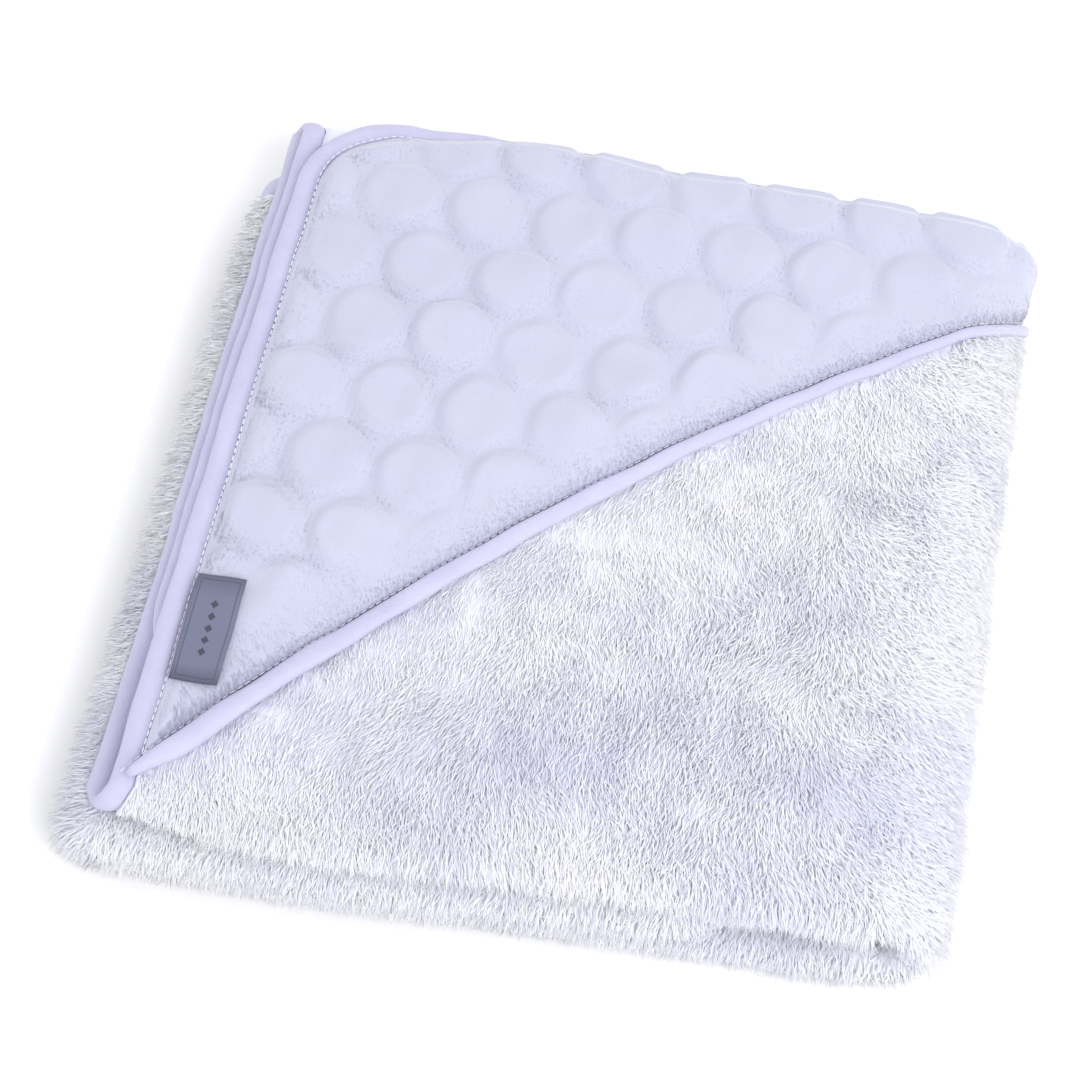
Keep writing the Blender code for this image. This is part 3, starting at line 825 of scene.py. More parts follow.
def slant_points(offset, height, us=slant_line_u):
    """Places, ups and ways across beside the slanting edge, in front of it by the offset."""
    v = slant_v(us)
    spoke = unit(np.stack([us - slant_centre[0], v - slant_centre[1]], axis=1))
    u_at, v_at = us - spoke[:, 0] * offset, v - spoke[:, 1] * offset
    places = wrap(u_at, v_at, np.broadcast_to(height, us.shape))
    ahead = unit(np.gradient(places, axis=0))
    turn = np.maximum(u_at - RIGHT_X, 0) / HOOD_BASE
    ups = np.stack([np.sin(turn), 0 * turn, np.cos(turn)], axis=1)
    return places, ups, unit(np.cross(ups, ahead))


narrowing = np.interp(slant_line_u, (HOOD_LEFT, 0.0, RIGHT_X), (0.95, 0.72, 0.50))
narrowing *= 0.45 + 0.55 * smooth((slant_line_u - HOOD_LEFT + 0.0055) / 0.012)
tape_places, tape_ups, tape_acrosses = slant_points(GROOVE + TAPE_WIDTH / 2 * narrowing, 0.0021)
slant_tape = tube("binding_hood_edge", tape_places, tape_ups, tape_acrosses,
                  TAPE_WIDTH * narrowing, 0.0034 + 0.0022 * (narrowing - 0.5), SATIN)

# %% [markdown]
# ## Stitches
# Both seams of the hood show as a row of short stitches in a groove. One stitch is a small
# capsule; a Geometry Nodes tree sets it out evenly along the seam's line.

# %% A stitch tree
def node_tree(name, sockets):
    tree = bpy.data.node_groups.new(name, "GeometryNodeTree")
    tree.interface.new_socket("Geometry", in_out="INPUT", socket_type="NodeSocketGeometry")
    for label, kind, value in sockets:
        socket = tree.interface.new_socket(label, in_out="INPUT", socket_type=kind)
        if value is not None:
            socket.default_value = value
    tree.interface.new_socket("Geometry", in_out="OUTPUT", socket_type="NodeSocketGeometry")
    return tree, tree.nodes.new("NodeGroupInput"), tree.nodes.new("NodeGroupOutput")


def stitch_tree():
    tree, taken, given = node_tree("Stitches", [
        ("Stitch", "NodeSocketObject", None),
        ("Spacing", "NodeSocketFloat", 0.0028),
        ("Finish", "NodeSocketMaterial", None),
    ])
    new, link = tree.nodes.new, tree.links.new
    curve = new("GeometryNodeMeshToCurve")
    points = new("GeometryNodeCurveToPoints")
    points.mode = "LENGTH"
    shape = new("GeometryNodeObjectInfo")
    place = new("GeometryNodeInstanceOnPoints")
    real = new("GeometryNodeRealizeInstances")
    finish = new("GeometryNodeSetMaterial")
    link(taken.outputs["Geometry"], curve.inputs["Mesh"])
    link(curve.outputs["Curve"], points.inputs["Curve"])
    link(taken.outputs["Spacing"], points.inputs["Length"])
    link(taken.outputs["Stitch"], shape.inputs["Object"])
    link(points.outputs["Points"], place.inputs["Points"])
    link(shape.outputs["Geometry"], place.inputs["Instance"])
    link(points.outputs["Rotation"], place.inputs["Rotation"])
    link(place.outputs["Instances"], real.inputs["Geometry"])
    link(real.outputs["Geometry"], finish.inputs["Geometry"])
    link(taken.outputs["Finish"], finish.inputs["Material"])
    link(finish.outputs["Geometry"], given.inputs["Geometry"])
    return tree


def grown(name, source, tree, settings):
    """Run a tree on an object and keep the result as a plain mesh piece."""
    modifier = source.modifiers.new(tree.name, "NODES")
    modifier.node_group = tree
    for item in tree.interface.items_tree:
        if item.in_out == "INPUT" and item.name in settings:
            modifier[item.identifier] = settings[item.name]
    graph = bpy.context.evaluated_depsgraph_get()
    graph.update()
    mesh = bpy.data.meshes.new_from_object(source.evaluated_get(graph), depsgraph=graph)
    source.modifiers.remove(modifier)
    mesh.name = name
    piece = bpy.data.objects.new(name, mesh)
    bpy.context.scene.collection.objects.link(piece)
    return piece


def hidden_shape(name, verts, faces):
    mesh = bpy.data.meshes.new(name)
    mesh.from_pydata(verts, [], faces)
    shape = bpy.data.objects.new(name, mesh)
    bpy.context.scene.collection.objects.link(shape)
    return shape


def capsule_shape():
    verts, faces, sides = [], [], 6
    for z, r in ((-0.00100, 0.0001), (-0.0008, 0.00019), (0.0, 0.00022), (0.0008, 0.00019),
                 (0.00100, 0.0001)):
        verts += [(r * math.cos(a), r * math.sin(a), z)
                  for a in np.linspace(0, math.tau, sides, endpoint=False)]
    for ring in range(4):
        for s in range(sides):
            t = (s + 1) % sides
            a, b = ring * sides, (ring + 1) * sides
            faces.append((a + s, a + t, b + t, b + s))
    faces += [tuple(range(sides))[::-1], tuple(range(4 * sides, 5 * sides))]
    return hidden_shape("one_stitch", verts, faces)


def line_source(name, places):
    mesh = bpy.data.meshes.new(name)
    mesh.from_pydata(settle(places).tolist(), [(i, i + 1) for i in range(len(places) - 1)], [])
    source = bpy.data.objects.new(name, mesh)
    bpy.context.scene.collection.objects.link(source)
    return source


STITCHES = stitch_tree()
STITCH = capsule_shape()


def stitch_row(name, places):
    source = line_source(name + "_line", places)
    piece = grown(name, source, STITCHES, {"Stitch": STITCH, "Spacing": 0.0027, "Finish": THREAD})
    bpy.data.objects.remove(source, do_unlink=True)
    piece.data.shade_smooth()
    return piece


slant_seam = slant_points(GROOVE * 0.3, 0.0012)[0]
slant_stitches = stitch_row("stitches_hood_edge", slant_seam)
seam_x = HOOD_LEFT - GROOVE / 2
seam_y = hood_back + GROOVE / 2
seam_r = HOOD_CORNER + GROOVE / 2
corner_turn = np.linspace(math.pi, math.pi / 2, 24)
seam_u = np.concatenate([[seam_x], seam_x + seam_r + seam_r * np.cos(corner_turn),
                         np.linspace(seam_x + seam_r, -0.052, 14)[1:]])
seam_v = np.concatenate([[hood_low.y], seam_y - seam_r + seam_r * np.sin(corner_turn),
                         np.full(13, seam_y)])
edge_seam = resample(wrap(seam_u, seam_v, np.full(seam_u.shape, 0.0013)), 0.002)
edge_stitches = stitch_row("stitches_edge_binding", edge_seam)
print("stitch faces:", len(slant_stitches.data.polygons), len(edge_stitches.data.polygons))

# %% [markdown]
# ## The label
# A woven satin label, folded and caught in the seam of the side binding. Its own map runs across
# and along it, and carries a plain border and a row of small diamonds.

# %% The woven label
def label_finish():
    material, shader, nodes, link = new_finish("woven_label", 0.45, 0.2)
    place = nodes.new("ShaderNodeUVMap")
    place.uv_map = "LabelPlan"
    split = nodes.new("ShaderNodeSeparateXYZ")
    link(place.outputs["UV"], split.inputs["Vector"])

    def math_node(operation, first, second=None, third=None):
        node = nodes.new("ShaderNodeMath")
        node.operation = operation
        for socket, value in zip(node.inputs, (first, second, third)):
            if value is None:
                continue
            if isinstance(value, (int, float)):
                socket.default_value = value
            else:
                link(value, socket)
        return node.outputs[0]

    across, along = split.outputs["X"], split.outputs["Y"]
    from_middle = math_node("ABSOLUTE", math_node("SUBTRACT", along, 0.5))
    off_line = math_node("ABSOLUTE", math_node("SUBTRACT", across, 0.5))
    steps = math_node("FRACT", math_node("MULTIPLY", along, 9.0))
    step_off = math_node("ABSOLUTE", math_node("SUBTRACT", steps, 0.5))
    diamond = math_node("ADD", math_node("MULTIPLY", step_off, 0.24), off_line)
    is_diamond = math_node("LESS_THAN", diamond, 0.085)
    in_row = math_node("LESS_THAN", from_middle, 0.28)
    motif = math_node("MULTIPLY", is_diamond, in_row)
    near_end = math_node("COMPARE", from_middle, 0.455, 0.006)
    near_side = math_node("COMPARE", off_line, 0.40, 0.014)
    inside_end = math_node("LESS_THAN", from_middle, 0.461)
    border = math_node("MAXIMUM", math_node("MULTIPLY", near_side, inside_end), near_end)
    border_here = math_node("MULTIPLY", border, math_node("LESS_THAN", off_line, 0.414))
    mask = math_node("MAXIMUM", motif, math_node("MULTIPLY", border_here, 0.6))
    shade = nodes.new("ShaderNodeValToRGB")
    ramp = shade.color_ramp
    ramp.elements[0].color = (0.08, 0.085, 0.14, 1)
    ramp.elements[1].color = (0.15, 0.16, 0.24, 1)
    ramp.elements[1].position = 0.16
    ramp.elements.new(0.80).color = (0.15, 0.16, 0.24, 1)
    ramp.elements.new(1.0).color = (0.105, 0.11, 0.17, 1)
    link(along, shade.inputs["Fac"])
    mix = nodes.new("ShaderNodeMix")
    mix.data_type = "RGBA"
    mix.inputs["B"].default_value = (0.055, 0.055, 0.085, 1)
    link(mask, mix.inputs["Factor"])
    link(shade.outputs["Color"], mix.inputs["A"])
    link(mix.outputs["Result"], shader.inputs["Base Color"])
    ribs = nodes.new("ShaderNodeGroup")
    ribs.node_tree = WEAVE
    ribs.inputs["Ribs"].default_value = 2400.0
    link(object_vector(nodes), ribs.inputs["Vector"])
    add_bump(nodes, link, shader, ribs.outputs["Height"], 0.3, 0.0002)
    return material


def make_label():
    across = np.linspace(0, 1, 12)
    along = np.linspace(0, 1, 22)
    u = label_low.x + (label_high.x - label_low.x) * across[:, None] + 0 * along[None, :]
    v = label_low.y + (label_high.y - label_low.y) * along[None, :] + 0 * across[:, None]
    wave = 0.0003 * np.sin(along * 7.0)[None, :] * across[:, None]
    ends = 0.0005 * (np.abs(along - 0.5)[None, :] * 2) ** 3 * across[:, None]
    free = 0.0012 * across[:, None] ** 1.7
    height = 0.0031 + free + wave + ends
    u = u - 0.0006 * across[:, None] ** 2
    top = wrap(u, v, height)
    under = wrap(u, v, height - 0.0006)
    piece = sheet_piece("woven_side_label", top, under, label_finish())
    layer = piece.data.uv_layers.new(name="LabelPlan")
    grid = np.stack([np.broadcast_to(across[:, None], u.shape),
                     np.broadcast_to(along[None, :], u.shape)], axis=-1).reshape(-1, 2)
    both = np.concatenate([grid, grid])
    corners = np.empty(len(piece.data.loops), int)
    piece.data.loops.foreach_get("vertex_index", corners)
    layer.data.foreach_set("uv", both[corners].astype(np.float32).ravel())
    return piece


label = make_label()
print("label faces:", len(label.data.polygons))

# %% [markdown]
# ## The pile
# Pile is thousands of short, soft tufts. One tuft is a bent, tapering spike of ten triangles. The
# tree scatters tufts over a surface, leans each the way the cloth there was brushed, lets
# neighbours clump together, and varies their size. The surface carries those wishes as attributes.

# %% A pile tree
def pile_tree():
    tree, taken, given = node_tree("Pile", [
        ("Tuft", "NodeSocketObject", None),
        ("Density", "NodeSocketFloat", 1000000.0),
        ("Seed", "NodeSocketInt", 1),
        ("Length", "NodeSocketFloat", 0.006),
        ("Width", "NodeSocketFloat", 0.0005),
        ("Spread", "NodeSocketFloat", 0.25),
        ("Clump", "NodeSocketFloat", 0.6),
        ("Clump Size", "NodeSocketFloat", 110.0),
        ("Finish", "NodeSocketMaterial", None),
    ])
    new, link = tree.nodes.new, tree.links.new

    def attribute(name, kind):
        node = new("GeometryNodeInputNamedAttribute")
        node.data_type = kind
        node.inputs["Name"].default_value = name
        return node.outputs["Attribute"]

    def vector(operation, first, second=None, scale=None):
        node = new("ShaderNodeVectorMath")
        node.operation = operation
        link(first, node.inputs[0])
        if second is not None:
            link(second, node.inputs[1])
        if scale is not None:
            link(scale, node.inputs["Scale"])
        return node.outputs["Vector"]

    def value(operation, first, second):
        node = new("ShaderNodeMath")
        node.operation = operation
        for socket, given_value in zip(node.inputs, (first, second)):
            if isinstance(given_value, (int, float)):
                socket.default_value = given_value
            else:
                link(given_value, socket)
        return node.outputs[0]

    def chance(kind, low, high, number):
        node = new("FunctionNodeRandomValue")
        node.data_type = kind
        low_socket, high_socket = [s for s in node.inputs if s.enabled][:2]
        low_socket.default_value, high_socket.default_value = low, high
        node.inputs["Seed"].default_value = number
        return [s for s in node.outputs if s.enabled][0]

    scatter = new("GeometryNodeDistributePointsOnFaces")
    link(taken.outputs["Geometry"], scatter.inputs["Mesh"])
    link(value("MULTIPLY", taken.outputs["Density"], attribute("thick", "FLOAT")),
         scatter.inputs["Density"])
    link(taken.outputs["Seed"], scatter.inputs["Seed"])

    noise = new("ShaderNodeTexNoise")
    noise.inputs["Detail"].default_value = 2.5
    link(taken.outputs["Clump Size"], noise.inputs["Scale"])
    centred = new("ShaderNodeVectorMath")
    centred.operation = "SUBTRACT"
    centred.inputs[1].default_value = (0.5, 0.5, 0.5)
    link(noise.outputs["Color"], centred.inputs[0])
    clump = vector("SCALE", centred.outputs["Vector"], None, taken.outputs["Clump"])
    loose = vector("SCALE", chance("FLOAT_VECTOR", (-1, -1, -1), (1, 1, 1), 5), None,
                   taken.outputs["Spread"])
    comb = attribute("comb", "FLOAT_VECTOR")
    lean = attribute("lean", "FLOAT")
    upright = value("SUBTRACT", 1.0, lean)
    way = vector("ADD", vector("SCALE", scatter.outputs["Normal"], None, upright),
                 vector("SCALE", comb, None, lean))
    way = vector("ADD", vector("ADD", way, clump), loose)

    face_comb = new("FunctionNodeAlignRotationToVector")
    face_comb.axis = "X"
    link(vector("ADD", comb, clump), face_comb.inputs["Vector"])
    point_up = new("FunctionNodeAlignRotationToVector")
    point_up.axis = "Z"
    link(face_comb.outputs["Rotation"], point_up.inputs["Rotation"])
    link(way, point_up.inputs["Vector"])
    spin = new("FunctionNodeAxisAngleToRotation")
    spin.inputs["Axis"].default_value = (0, 0, 1)
    link(chance("FLOAT", -0.9, 0.9, 6), spin.inputs["Angle"])
    turn = new("FunctionNodeRotateRotation")
    turn.rotation_space = "LOCAL"
    link(point_up.outputs["Rotation"], turn.inputs["Rotation"])
    link(spin.outputs["Rotation"], turn.inputs["Rotate By"])

    wide = value("MULTIPLY", taken.outputs["Width"], chance("FLOAT", 0.7, 1.25, 7))
    reach = value("MULTIPLY", taken.outputs["Length"], attribute("reach", "FLOAT"))
    long = value("MULTIPLY", reach, chance("FLOAT", 0.6, 1.15, 8))
    size = new("ShaderNodeCombineXYZ")
    link(wide, size.inputs["X"])
    link(wide, size.inputs["Y"])
    link(long, size.inputs["Z"])

    shape = new("GeometryNodeObjectInfo")
    link(taken.outputs["Tuft"], shape.inputs["Object"])
    place = new("GeometryNodeInstanceOnPoints")
    keep = new("GeometryNodeStoreNamedAttribute")
    keep.data_type, keep.domain = "FLOAT_VECTOR", "POINT"
    keep.inputs["Name"].default_value = "ground"
    link(scatter.outputs["Points"], keep.inputs["Geometry"])
    link(scatter.outputs["Normal"], keep.inputs["Value"])
    link(keep.outputs["Geometry"], place.inputs["Points"])
    link(shape.outputs["Geometry"], place.inputs["Instance"])
    link(turn.outputs["Rotation"], place.inputs["Rotation"])
    link(size.outputs["Vector"], place.inputs["Scale"])
    real = new("GeometryNodeRealizeInstances")
    finish = new("GeometryNodeSetMaterial")
    link(place.outputs["Instances"], real.inputs["Geometry"])
    link(real.outputs["Geometry"], finish.inputs["Geometry"])
    link(taken.outputs["Finish"], finish.inputs["Material"])
    link(finish.outputs["Geometry"], given.inputs["Geometry"])
    return tree


def spike_shape(name, rings, tip):
    """A closed three-sided spike: rings of (bend, height, radius), then the tip."""
    verts, faces = [], []
    for bend, height, radius in rings:
        verts += [(bend + radius * math.cos(a), radius * math.sin(a), height)
                  for a in (0, math.tau / 3, 2 * math.tau / 3)]
    verts.append((tip[0], 0.0, tip[1]))
    for ring in range(len(rings) - 1):
        for s in range(3):
            a, b = 3 * ring, 3 * ring + 3
            faces.append((a + s, a + (s + 1) % 3, b + (s + 1) % 3, b + s))
    top = 3 * (len(rings) - 1)
    faces += [(top + s, top + (s + 1) % 3, len(verts) - 1) for s in range(3)]
    faces.append((2, 1, 0))
    return hidden_shape(name, verts, faces)


PILES = pile_tree()
TUFT = spike_shape("one_tuft", ((0.0, -0.03, 0.5), (0.9, 0.55, 0.42)), (3.6, 1.0))
FIBRE = spike_shape("one_fibre", ((0.0, -0.03, 0.5),), (0.8, 1.0))
print("tuft faces:", len(TUFT.data.polygons), "fibre faces:", len(FIBRE.data.polygons))

# %% [markdown]
# A piece of pile may not be too heavy, so a surface is cut into bands of columns that each hold
# some 17,000 tufts. Each tuft then gets a map of its own: across it, how deep in shade its patch
# of pile lies, and along it, from root to tip. No tuft reaches below the floor.

# %% Grow pile on a surface
MOST_TUFTS = 17200
FLOOR_CLEAR = 0.0002
shade_patches = waves(61, 8, 0.07, 0.012)


def corner_heights(shape):
    points = shape.data.vertices
    return np.array([max(0.0, points[v].co.z) for f in shape.data.polygons for v in f.vertices])


def soften(mesh, share):
    """Shade the tufts partly as the cloth they stand on, as light in dense pile does."""
    ground = np.empty(3 * len(mesh.vertices), np.float32)
    own = np.empty(3 * len(mesh.vertices), np.float32)
    mesh.attributes["ground"].data.foreach_get("vector", ground)
    mesh.vertices.foreach_get("normal", own)
    mixed = unit(share * ground.reshape(-1, 3) + (1 - share) * own.reshape(-1, 3))
    mesh.normals_split_custom_set_from_vertices(mixed.tolist())


def surface_source(name, grid, wishes):
    rows, columns = grid.shape[:2]
    mesh = bpy.data.meshes.new(name)
    mesh.from_pydata(settle(grid.reshape(-1, 3)).tolist(), [], grid_faces(rows, columns).tolist())
    for wish, values in wishes.items():
        kind, field = ("FLOAT_VECTOR", "vector") if values.ndim == 3 else ("FLOAT", "value")
        layer = mesh.attributes.new(wish, kind, "POINT")
        layer.data.foreach_set(field, values.astype(np.float32).ravel())
    mesh.shade_smooth()
    source = bpy.data.objects.new(name, mesh)
    bpy.context.scene.collection.objects.link(source)
    return source


def grow(name, grid, normals, comb, density, lean=0.62, reach=1.0, thick=1.0, tuft=None,
         finish=None, length=0.0068, width=0.00036, spread=0.26, clump=1.15, clump_size=95.0,
         soft=0.75, seed=1):
    """Pile on a grid of points. comb is a direction, or a grid of them."""
    tuft, finish = tuft or TUFT, finish or PILE
    shape = grid.shape[:2]
    comb = np.broadcast_to(np.asarray(comb, float), (*shape, 3))
    comb = unit(comb - normals * np.sum(comb * normals, axis=2, keepdims=True))
    wishes = {"comb": comb, "lean": np.broadcast_to(lean, shape),
              "reach": np.broadcast_to(reach, shape), "thick": np.broadcast_to(thick, shape)}
    a = np.linalg.norm(np.cross(grid[1:, :-1] - grid[:-1, :-1], grid[:-1, 1:] - grid[:-1, :-1]),
                       axis=2)
    dense = a * wishes["thick"][:-1, :-1] * density
    total = dense.sum(axis=0).cumsum()
    parts = max(1, math.ceil(total[-1] / MOST_TUFTS))
    if np.mean(np.sum(np.cross(grid[:-1, 1:] - grid[:-1, :-1], grid[1:, :-1] - grid[:-1, :-1])
                      * normals[:-1, :-1], axis=2)) < 0:
        grid, normals = grid[::-1], normals[::-1]
        wishes = {k: v[::-1] for k, v in wishes.items()}
    shares = [total[-1] * (i + 1) / parts for i in range(parts)]
    cuts = [0, *(int(np.searchsorted(total, share)) + 1 for share in shares)]
    cuts[-1] = shape[1] - 1
    heights = corner_heights(tuft)
    made = []
    for i in range(parts):
        span = slice(cuts[i], cuts[i + 1] + 1)
        source = surface_source(f"{name}_ground", grid[:, span],
                                {k: v[:, span] for k, v in wishes.items()})
        part_name = f"{name}_{i + 1}" if parts > 1 else name
        piece = grown(part_name, source, PILES, {
            "Tuft": tuft, "Density": float(density), "Seed": seed + i, "Length": length,
            "Width": width, "Spread": spread, "Clump": clump, "Clump Size": clump_size,
            "Finish": finish})
        bpy.data.objects.remove(source, do_unlink=True)
        mesh = piece.data
        count = len(mesh.loops) // len(heights)
        for layer in list(mesh.uv_layers):
            mesh.uv_layers.remove(layer)
        layer = mesh.uv_layers.new(name="OFBake")
        places = np.empty(3 * len(mesh.vertices), np.float32)
        mesh.vertices.foreach_get("co", places)
        feet = places.reshape(count, -1, 3)[:, 0]
        patch = 0.12 + shade_patches(feet[:, 0], feet[:, 1]) * 1.1
        patch += 0.45 * np.exp(-(((feet[:, 1] + 0.085) / 0.045) ** 2))
        numbers = patch + 0.4 * (np.random.default_rng(seed + 100 + i).random(count) - 0.5)
        numbers = np.clip(numbers, 0.02, 0.98)
        places[2::3] = np.maximum(places[2::3], FLOOR_CLEAR)
        mesh.vertices.foreach_set("co", places)
        uv = np.stack([np.repeat(numbers, len(heights)), np.tile(heights, count)], axis=1)
        layer.data.foreach_set("uv", uv.astype(np.float32).ravel())
        mesh.shade_smooth()
        soften(mesh, soft)
        for leftover in ("comb", "lean", "reach", "thick", "ground"):
            if leftover in mesh.attributes:
                mesh.attributes.remove(mesh.attributes[leftover])
        made.append(piece)
    print(name, "tufts:", sum(len(p.data.loops) for p in made) // len(heights), "in", parts)
    return made


# %% [markdown]
# The top layer is brushed towards the front, and the brushing wanders. Under the hood there is
# none. At the front folds the pile hangs forward and down; at the side walls it points outwards.

# %% Pile on the strips
LIFT = CLOTH / 2
DENSE = 2.2e6  # tufts on a square metre where the pile shows
SPARSE = 0.30e6  # and long fibres where another layer hides it
brush = waves(51, 6, 0.09, 0.02)
brush_2 = waves(52, 6, 0.09, 0.02)


def rows_of(grid, path, low_row, high_row):
    chosen = (path[:, 4] >= low_row - 1e-6) & (path[:, 4] <= high_row + 1e-6)
    return grid[0][chosen], grid[1][chosen]


middle, normals = rows_of(top_grid, top_left_path, 0.0, 0.0)
surface = middle + normals * LIFT
u, v = surface[..., 0], surface[..., 1]
wander = np.stack([0.55 * brush(u, v) * 2.2, -1 + 0.3 * brush_2(u, v), 0 * u], axis=-1)
to_fold = smooth((u - RIGHT_X + 0.045) / 0.045)[..., None]
wander = wander * (1 - to_fold) + np.array([0.55, -0.65, 0.0]) * to_fold
in_front = before_slant(u, v)
bare = smooth((in_front - GROOVE - 0.4 * TAPE_WIDTH) / 0.004)
left_bare = smooth((u - cloth_left + 0.001) / 0.003)
near_slant = smooth((in_front - 0.012) / 0.05)
lying = 0.60 + 0.10 * (1 - near_slant) - 0.14 * to_fold[..., 0]
top_piles = grow("pile_top", surface, normals, wander, DENSE, lean=lying,
                 reach=0.75 + 0.25 * near_slant, thick=bare * left_bare, seed=3)


def front_turn(grid, path, first_row=-2, count=12):
    """The rows of a strip round its front fold, from a little before the turn."""
    start = int(np.argmax(path[:, 4] > 0)) + first_row
    return grid[0][start:start + count], grid[1][start:start + count]


middle, normals = front_turn(top_grid, top_left_path)
down = np.stack([0.15 + 0 * normals[..., 0], -0.5 + 0 * normals[..., 1],
                 -0.7 + 0 * normals[..., 2]], axis=-1)
over_edge = smooth((middle[..., 2] - middle[..., 2].max() + 0.0045) / 0.0045)
top_piles += grow("pile_top_front", middle + normals * LIFT, normals, down, DENSE,
                  lean=0.45 + 0.13 * over_edge,
                  reach=0.45 + 0.75 * smooth((middle[..., 0] + 0.115) / 0.03), seed=11)

# %% Pile at the lower front folds and between the layers
lower_piles = []
for name, grid, path, turn_rows, seed in (("tucked", tucked_grid, low_tuck, (-2, 12), 21),
                                      ("bottom", bottom_grid, low_right, (2, 12), 31)):
    middle, normals = front_turn(grid, path, *turn_rows)
    way = np.stack([0 * normals[..., 0], -0.6 + 0 * normals[..., 1], -0.55 + 0 * normals[..., 2]],
                   axis=-1)
    lower_piles += grow(f"pile_{name}_front", middle + normals * LIFT, normals, way, 1.9e6,
                        lean=0.42, seed=seed)

middle, normals = rows_of(bottom_grid, low_right, 1.0, 1.0)
lower_piles += grow("pile_bottom_inside", (middle + normals * LIFT)[:7, 27:], normals[:7, 27:],
                    (0.1, -1, 0), 1.3e6, lean=0.6, length=0.005, seed=37)
beside = (middle + normals * LIFT)[6:, 27:]
lower_piles += grow("pile_bottom_beside", beside, normals[6:, 27:], (0.2, -1, 0), SPARSE,
                    thick=smooth((beside[..., 0] - RIGHT_X + 0.030) / 0.004), lean=0.86,
                    tuft=FIBRE, length=0.0060, width=0.0013, seed=39)
middle, normals = rows_of(tucked_grid, low_tuck, 0.0, 0.0)
lower_piles += grow("pile_tucked_top", middle + normals * LIFT, normals, (0.2, -1, 0), SPARSE,
                    lean=0.86, tuft=FIBRE, length=0.0080, width=0.0013, seed=41)
middle, normals = rows_of(top_grid, top_left_path, 1.0, 1.0)
top_piles += grow("pile_top_under", middle + normals * LIFT, normals, (0.2, -1, 0), SPARSE,
                  lean=0.86, tuft=FIBRE, length=0.0080, width=0.0013, seed=51)

# %% Pile on the side folds
def fold_surface(path, chosen, centre_x, radius, side, angles, path_at_top=None):
    at_top = None if path_at_top is None else path_at_top[chosen]
    middle, normals = round_fold(path[chosen], centre_x, radius, side, angles, at_top)
    return middle + normals * LIFT, normals


outer_rows = (right_path[:, 4] <= 0.5)
grid, normals = fold_surface(right_path, outer_rows, RIGHT_X, RIGHT_RADIUS, 1, fine_turn,
                             right_top)
wraps_hood = -before_slant(RIGHT_X + (math.pi / 2 - fine_turn)[None, :] * HOOD_BASE,
                           grid[..., 1])
bare = 1 - smooth((wraps_hood + TAPE_WIDTH * 0.5) / 0.003)
out_way = np.stack([0.50 + 0 * normals[..., 0], -0.60 + 0 * normals[..., 1],
                    -0.50 + 0.5 * normals[..., 2]], axis=-1)
right_piles = {"outer": grow("pile_right_fold", grid, normals, out_way, 1.6e6, lean=0.42,
                             thick=bare, seed=61)}
inner_rows = (right_path[:, 4] >= 0.5) & (right_path[:, 4] <= 1.0)
grid, normals = fold_surface(right_path, inner_rows, RIGHT_X, RIGHT_RADIUS, 1, fine_turn,
                             right_top)
right_piles["inner"] = grow("pile_right_fold_inner", grid, normals, (0, -1, 0), 0.5e6, lean=0.5,
                            length=0.0045, width=0.0007, seed=71)

outer_rows = left_path[:, 4] <= 1.0
grid, normals = fold_surface(left_path, outer_rows, LEFT_X, LEFT_RADIUS, -1, half_turn)
outward = left_path[outer_rows, 4] <= 0.6
grid, normals = grid[outward], normals[outward]
out_way = np.stack([-0.3 + 0 * normals[..., 0], -0.6 + 0 * normals[..., 1],
                    -0.45 + 0 * normals[..., 2]], axis=-1)
lower_piles += grow("pile_left_fold", grid, normals, out_way, 1.55e6, lean=0.42, seed=81)

# %% [markdown]
# Velour is brushed too, but its nap is short. It stands longer at the front left corner and along
# the edges, where the seam bunches it.

# %% Nap on the hood
nap_u = np.linspace(HOOD_LEFT + 0.0006, HOOD_TIP - 0.004, 150)
past = np.maximum(HOOD_LEFT + HOOD_CORNER - nap_u, 0)
nap_back = back_edge(nap_u) - HOOD_CORNER + np.sqrt(HOOD_CORNER**2 - past**2) - 0.0006
nap_front = slant_v(nap_u) + 0.0006
spread = np.linspace(0, 1, 110)[:, None]
nap_v = nap_front[None, :] * (1 - spread) + nap_back[None, :] * spread
flat_u = np.broadcast_to(nap_u[None, :], nap_v.shape)
nap_grid = wrap(flat_u, nap_v, hood_height(flat_u, nap_v) - 0.0001)
turn = np.maximum(flat_u - RIGHT_X, 0) / HOOD_BASE
nap_normals = np.stack([np.sin(turn), 0 * turn, np.cos(turn)], axis=-1)
edge = hood_edge_distance(flat_u, nap_v)
shag = np.clip((1 - smooth(edge / 0.014)) * 0.5
               + (1 - smooth((nap_v + 0.10) / 0.05)), 0, 1.6)
under_label = np.maximum(flat_u - label_high.x, np.abs(nap_v - label_middle) - 0.0175)
uncovered = smooth((under_label + 0.001) / 0.002)
nap_way = np.stack([0.5 + brush(flat_u, nap_v), -1 + 0 * flat_u, 0 * flat_u], axis=-1)
nap_thick = uncovered * (0.5 + 0.5 * np.minimum(shag, 1))
hood_nap = grow("nap_hood", nap_grid, nap_normals, nap_way, 1.9e6, lean=0.84,
                reach=0.36 + shag, thick=nap_thick, tuft=FIBRE, finish=NAP, length=0.0023,
                width=0.00026, spread=0.14,
                clump=0.5, clump_size=130.0, soft=0.95, seed=91)

# %% [markdown]
# ## Onto the bodies
# The top third, its bindings and pile swing together. The lower thirds stay. What turns round the
# right fold stays where it was built, its placing baked into its points.

# %% Ride, blend, slots and cloth
TOP, LOWER = "top_third", "lower_thirds"


def bend(piece, radius=PLY_RADIUS["outer"]):
    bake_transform(piece)


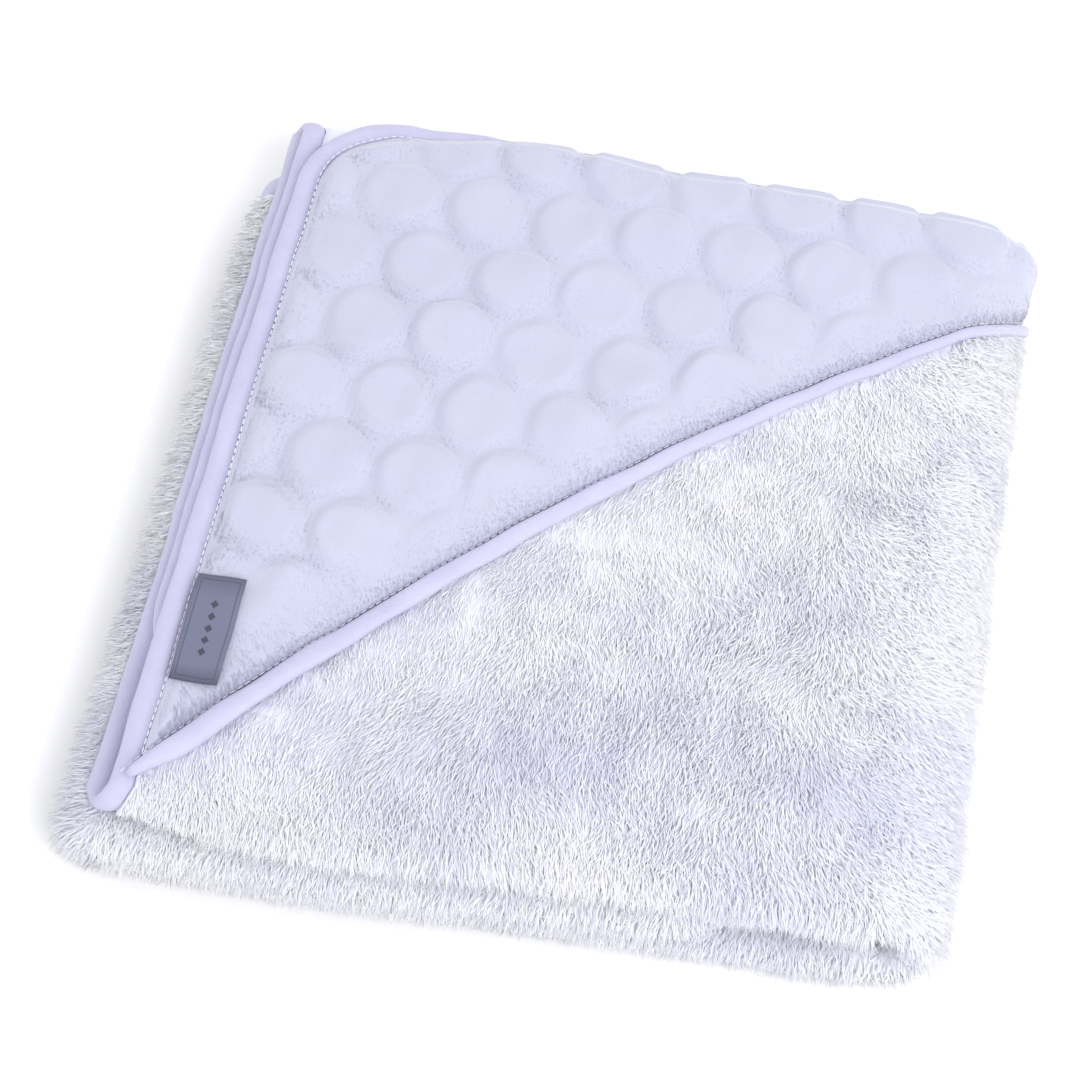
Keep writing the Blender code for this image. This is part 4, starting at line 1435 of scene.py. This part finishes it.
for piece in (top_cloth, top_tape, edge_stitches, *top_piles):
    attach(piece, TOP)
for piece in (bottom_cloth, tucked_cloth, left_cloth, tucked_tape, bottom_tape, left_tape,
              *lower_piles):
    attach(piece, LOWER)
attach(label, "label")
for part, piece in right_cloths.items():
    bend(piece, PLY_RADIUS[part])
for part, pieces in right_piles.items():
    for piece in pieces:
        bend(piece, PLY_RADIUS[part])
for piece in (hood_cloth, slant_tape, slant_stitches, right_tape, *hood_nap):
    bend(piece)

for piece, node in (
    (top_cloth, "towel_top_third"),
    (bottom_cloth, "towel_bottom_third"),
    (tucked_cloth, "towel_tucked_third"),
    (left_cloth, "left_fold"),
    (right_cloths["outer"], "right_fold"),
    (hood_cloth, "hood_panel"),
    (top_tape, "top_edge_binding"),
    (tucked_tape, "tucked_edge_binding"),
    (bottom_tape, "bottom_edge_binding"),
    (left_tape, "left_fold_binding"),
    (right_tape, "right_fold_binding"),
    (slant_tape, "hood_edge_binding"),
    (edge_stitches, "edge_binding_thread"),
    (slant_stitches, "hood_edge_thread"),
    (label, "side_label"),
):
    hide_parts(node)


for shape in (TUFT, FIBRE, STITCH):
    bpy.data.objects.remove(shape, do_unlink=True)

# %% [markdown]
# ## The setting
# A pale paper floor and soft light from the front right, as in a small product studio. The
# light is low enough to leave the left side in soft shade and to model the bubbles. An even white
# surrounding fills the shade, so the pile stays bright down to its roots.

# %% Camera, light and floor
def add_stage():
    bpy.ops.mesh.primitive_plane_add(size=6.0, location=(0, 0, -0.0005))
    floor = bpy.context.object
    floor.name = "studio_floor"
    material, shader, nodes, link = new_finish("floor_paper", 0.9)
    shader.inputs["Base Color"].default_value = (0.88, 0.88, 0.885, 1)
    floor.data.materials.append(material)


def add_light(name, place, size, power):
    data = bpy.data.lights.new(name, "AREA")
    data.energy = power
    data.size = size
    lamp = bpy.data.objects.new(name, data)
    bpy.context.scene.collection.objects.link(lamp)
    lamp.location = place
    lamp.rotation_euler = (-Vector(place)).to_track_quat("-Z", "Y").to_euler()


CAMERA_TURN, CAMERA_RISE, CAMERA_ROLL = 10.2, 64.6, 1.65
CAMERA_TARGET, CAMERA_AWAY, CAMERA_LENS = (-0.0113, 0.0054, 0.0), 0.721, 69.6


def add_camera():
    azimuth, elevation, roll = map(math.radians, (CAMERA_TURN, CAMERA_RISE, CAMERA_ROLL))
    back = Vector((
        math.sin(azimuth) * math.cos(elevation),
        -math.cos(azimuth) * math.cos(elevation),
        math.sin(elevation),
    ))
    right = Vector((math.cos(azimuth), math.sin(azimuth), 0))
    up = back.cross(right)
    level = Matrix((right, up, back)).transposed()
    data = bpy.data.cameras.new("camera")
    data.lens = CAMERA_LENS
    camera = bpy.data.objects.new("camera", data)
    bpy.context.scene.collection.objects.link(camera)
    target = Vector(CAMERA_TARGET)
    camera.rotation_euler = (level @ Matrix.Rotation(roll, 3, "Z")).to_euler()
    camera.location = target + back * CAMERA_AWAY
    bpy.context.scene.camera = camera


add_stage()
add_camera()
add_light("key_light", (0.64, -0.54, 1.06), 0.65, 9.0)
world = bpy.data.worlds.new("studio")
world.use_nodes = True
world.node_tree.nodes["Background"].inputs["Color"].default_value = (0.965, 0.97, 1.0, 1)
world.node_tree.nodes["Background"].inputs["Strength"].default_value = 1.12
bpy.context.scene.world = world
bpy.context.scene.view_settings.view_transform = "Standard"

# %% Finish
faces = {p.name: sum(len(f.vertices) - 2 for f in p.data.polygons)
         for p in bpy.data.objects if p.type == "MESH" and not p.hide_render}
print("triangles:", sum(faces.values()), "largest:", max(faces, key=faces.get), max(faces.values()))
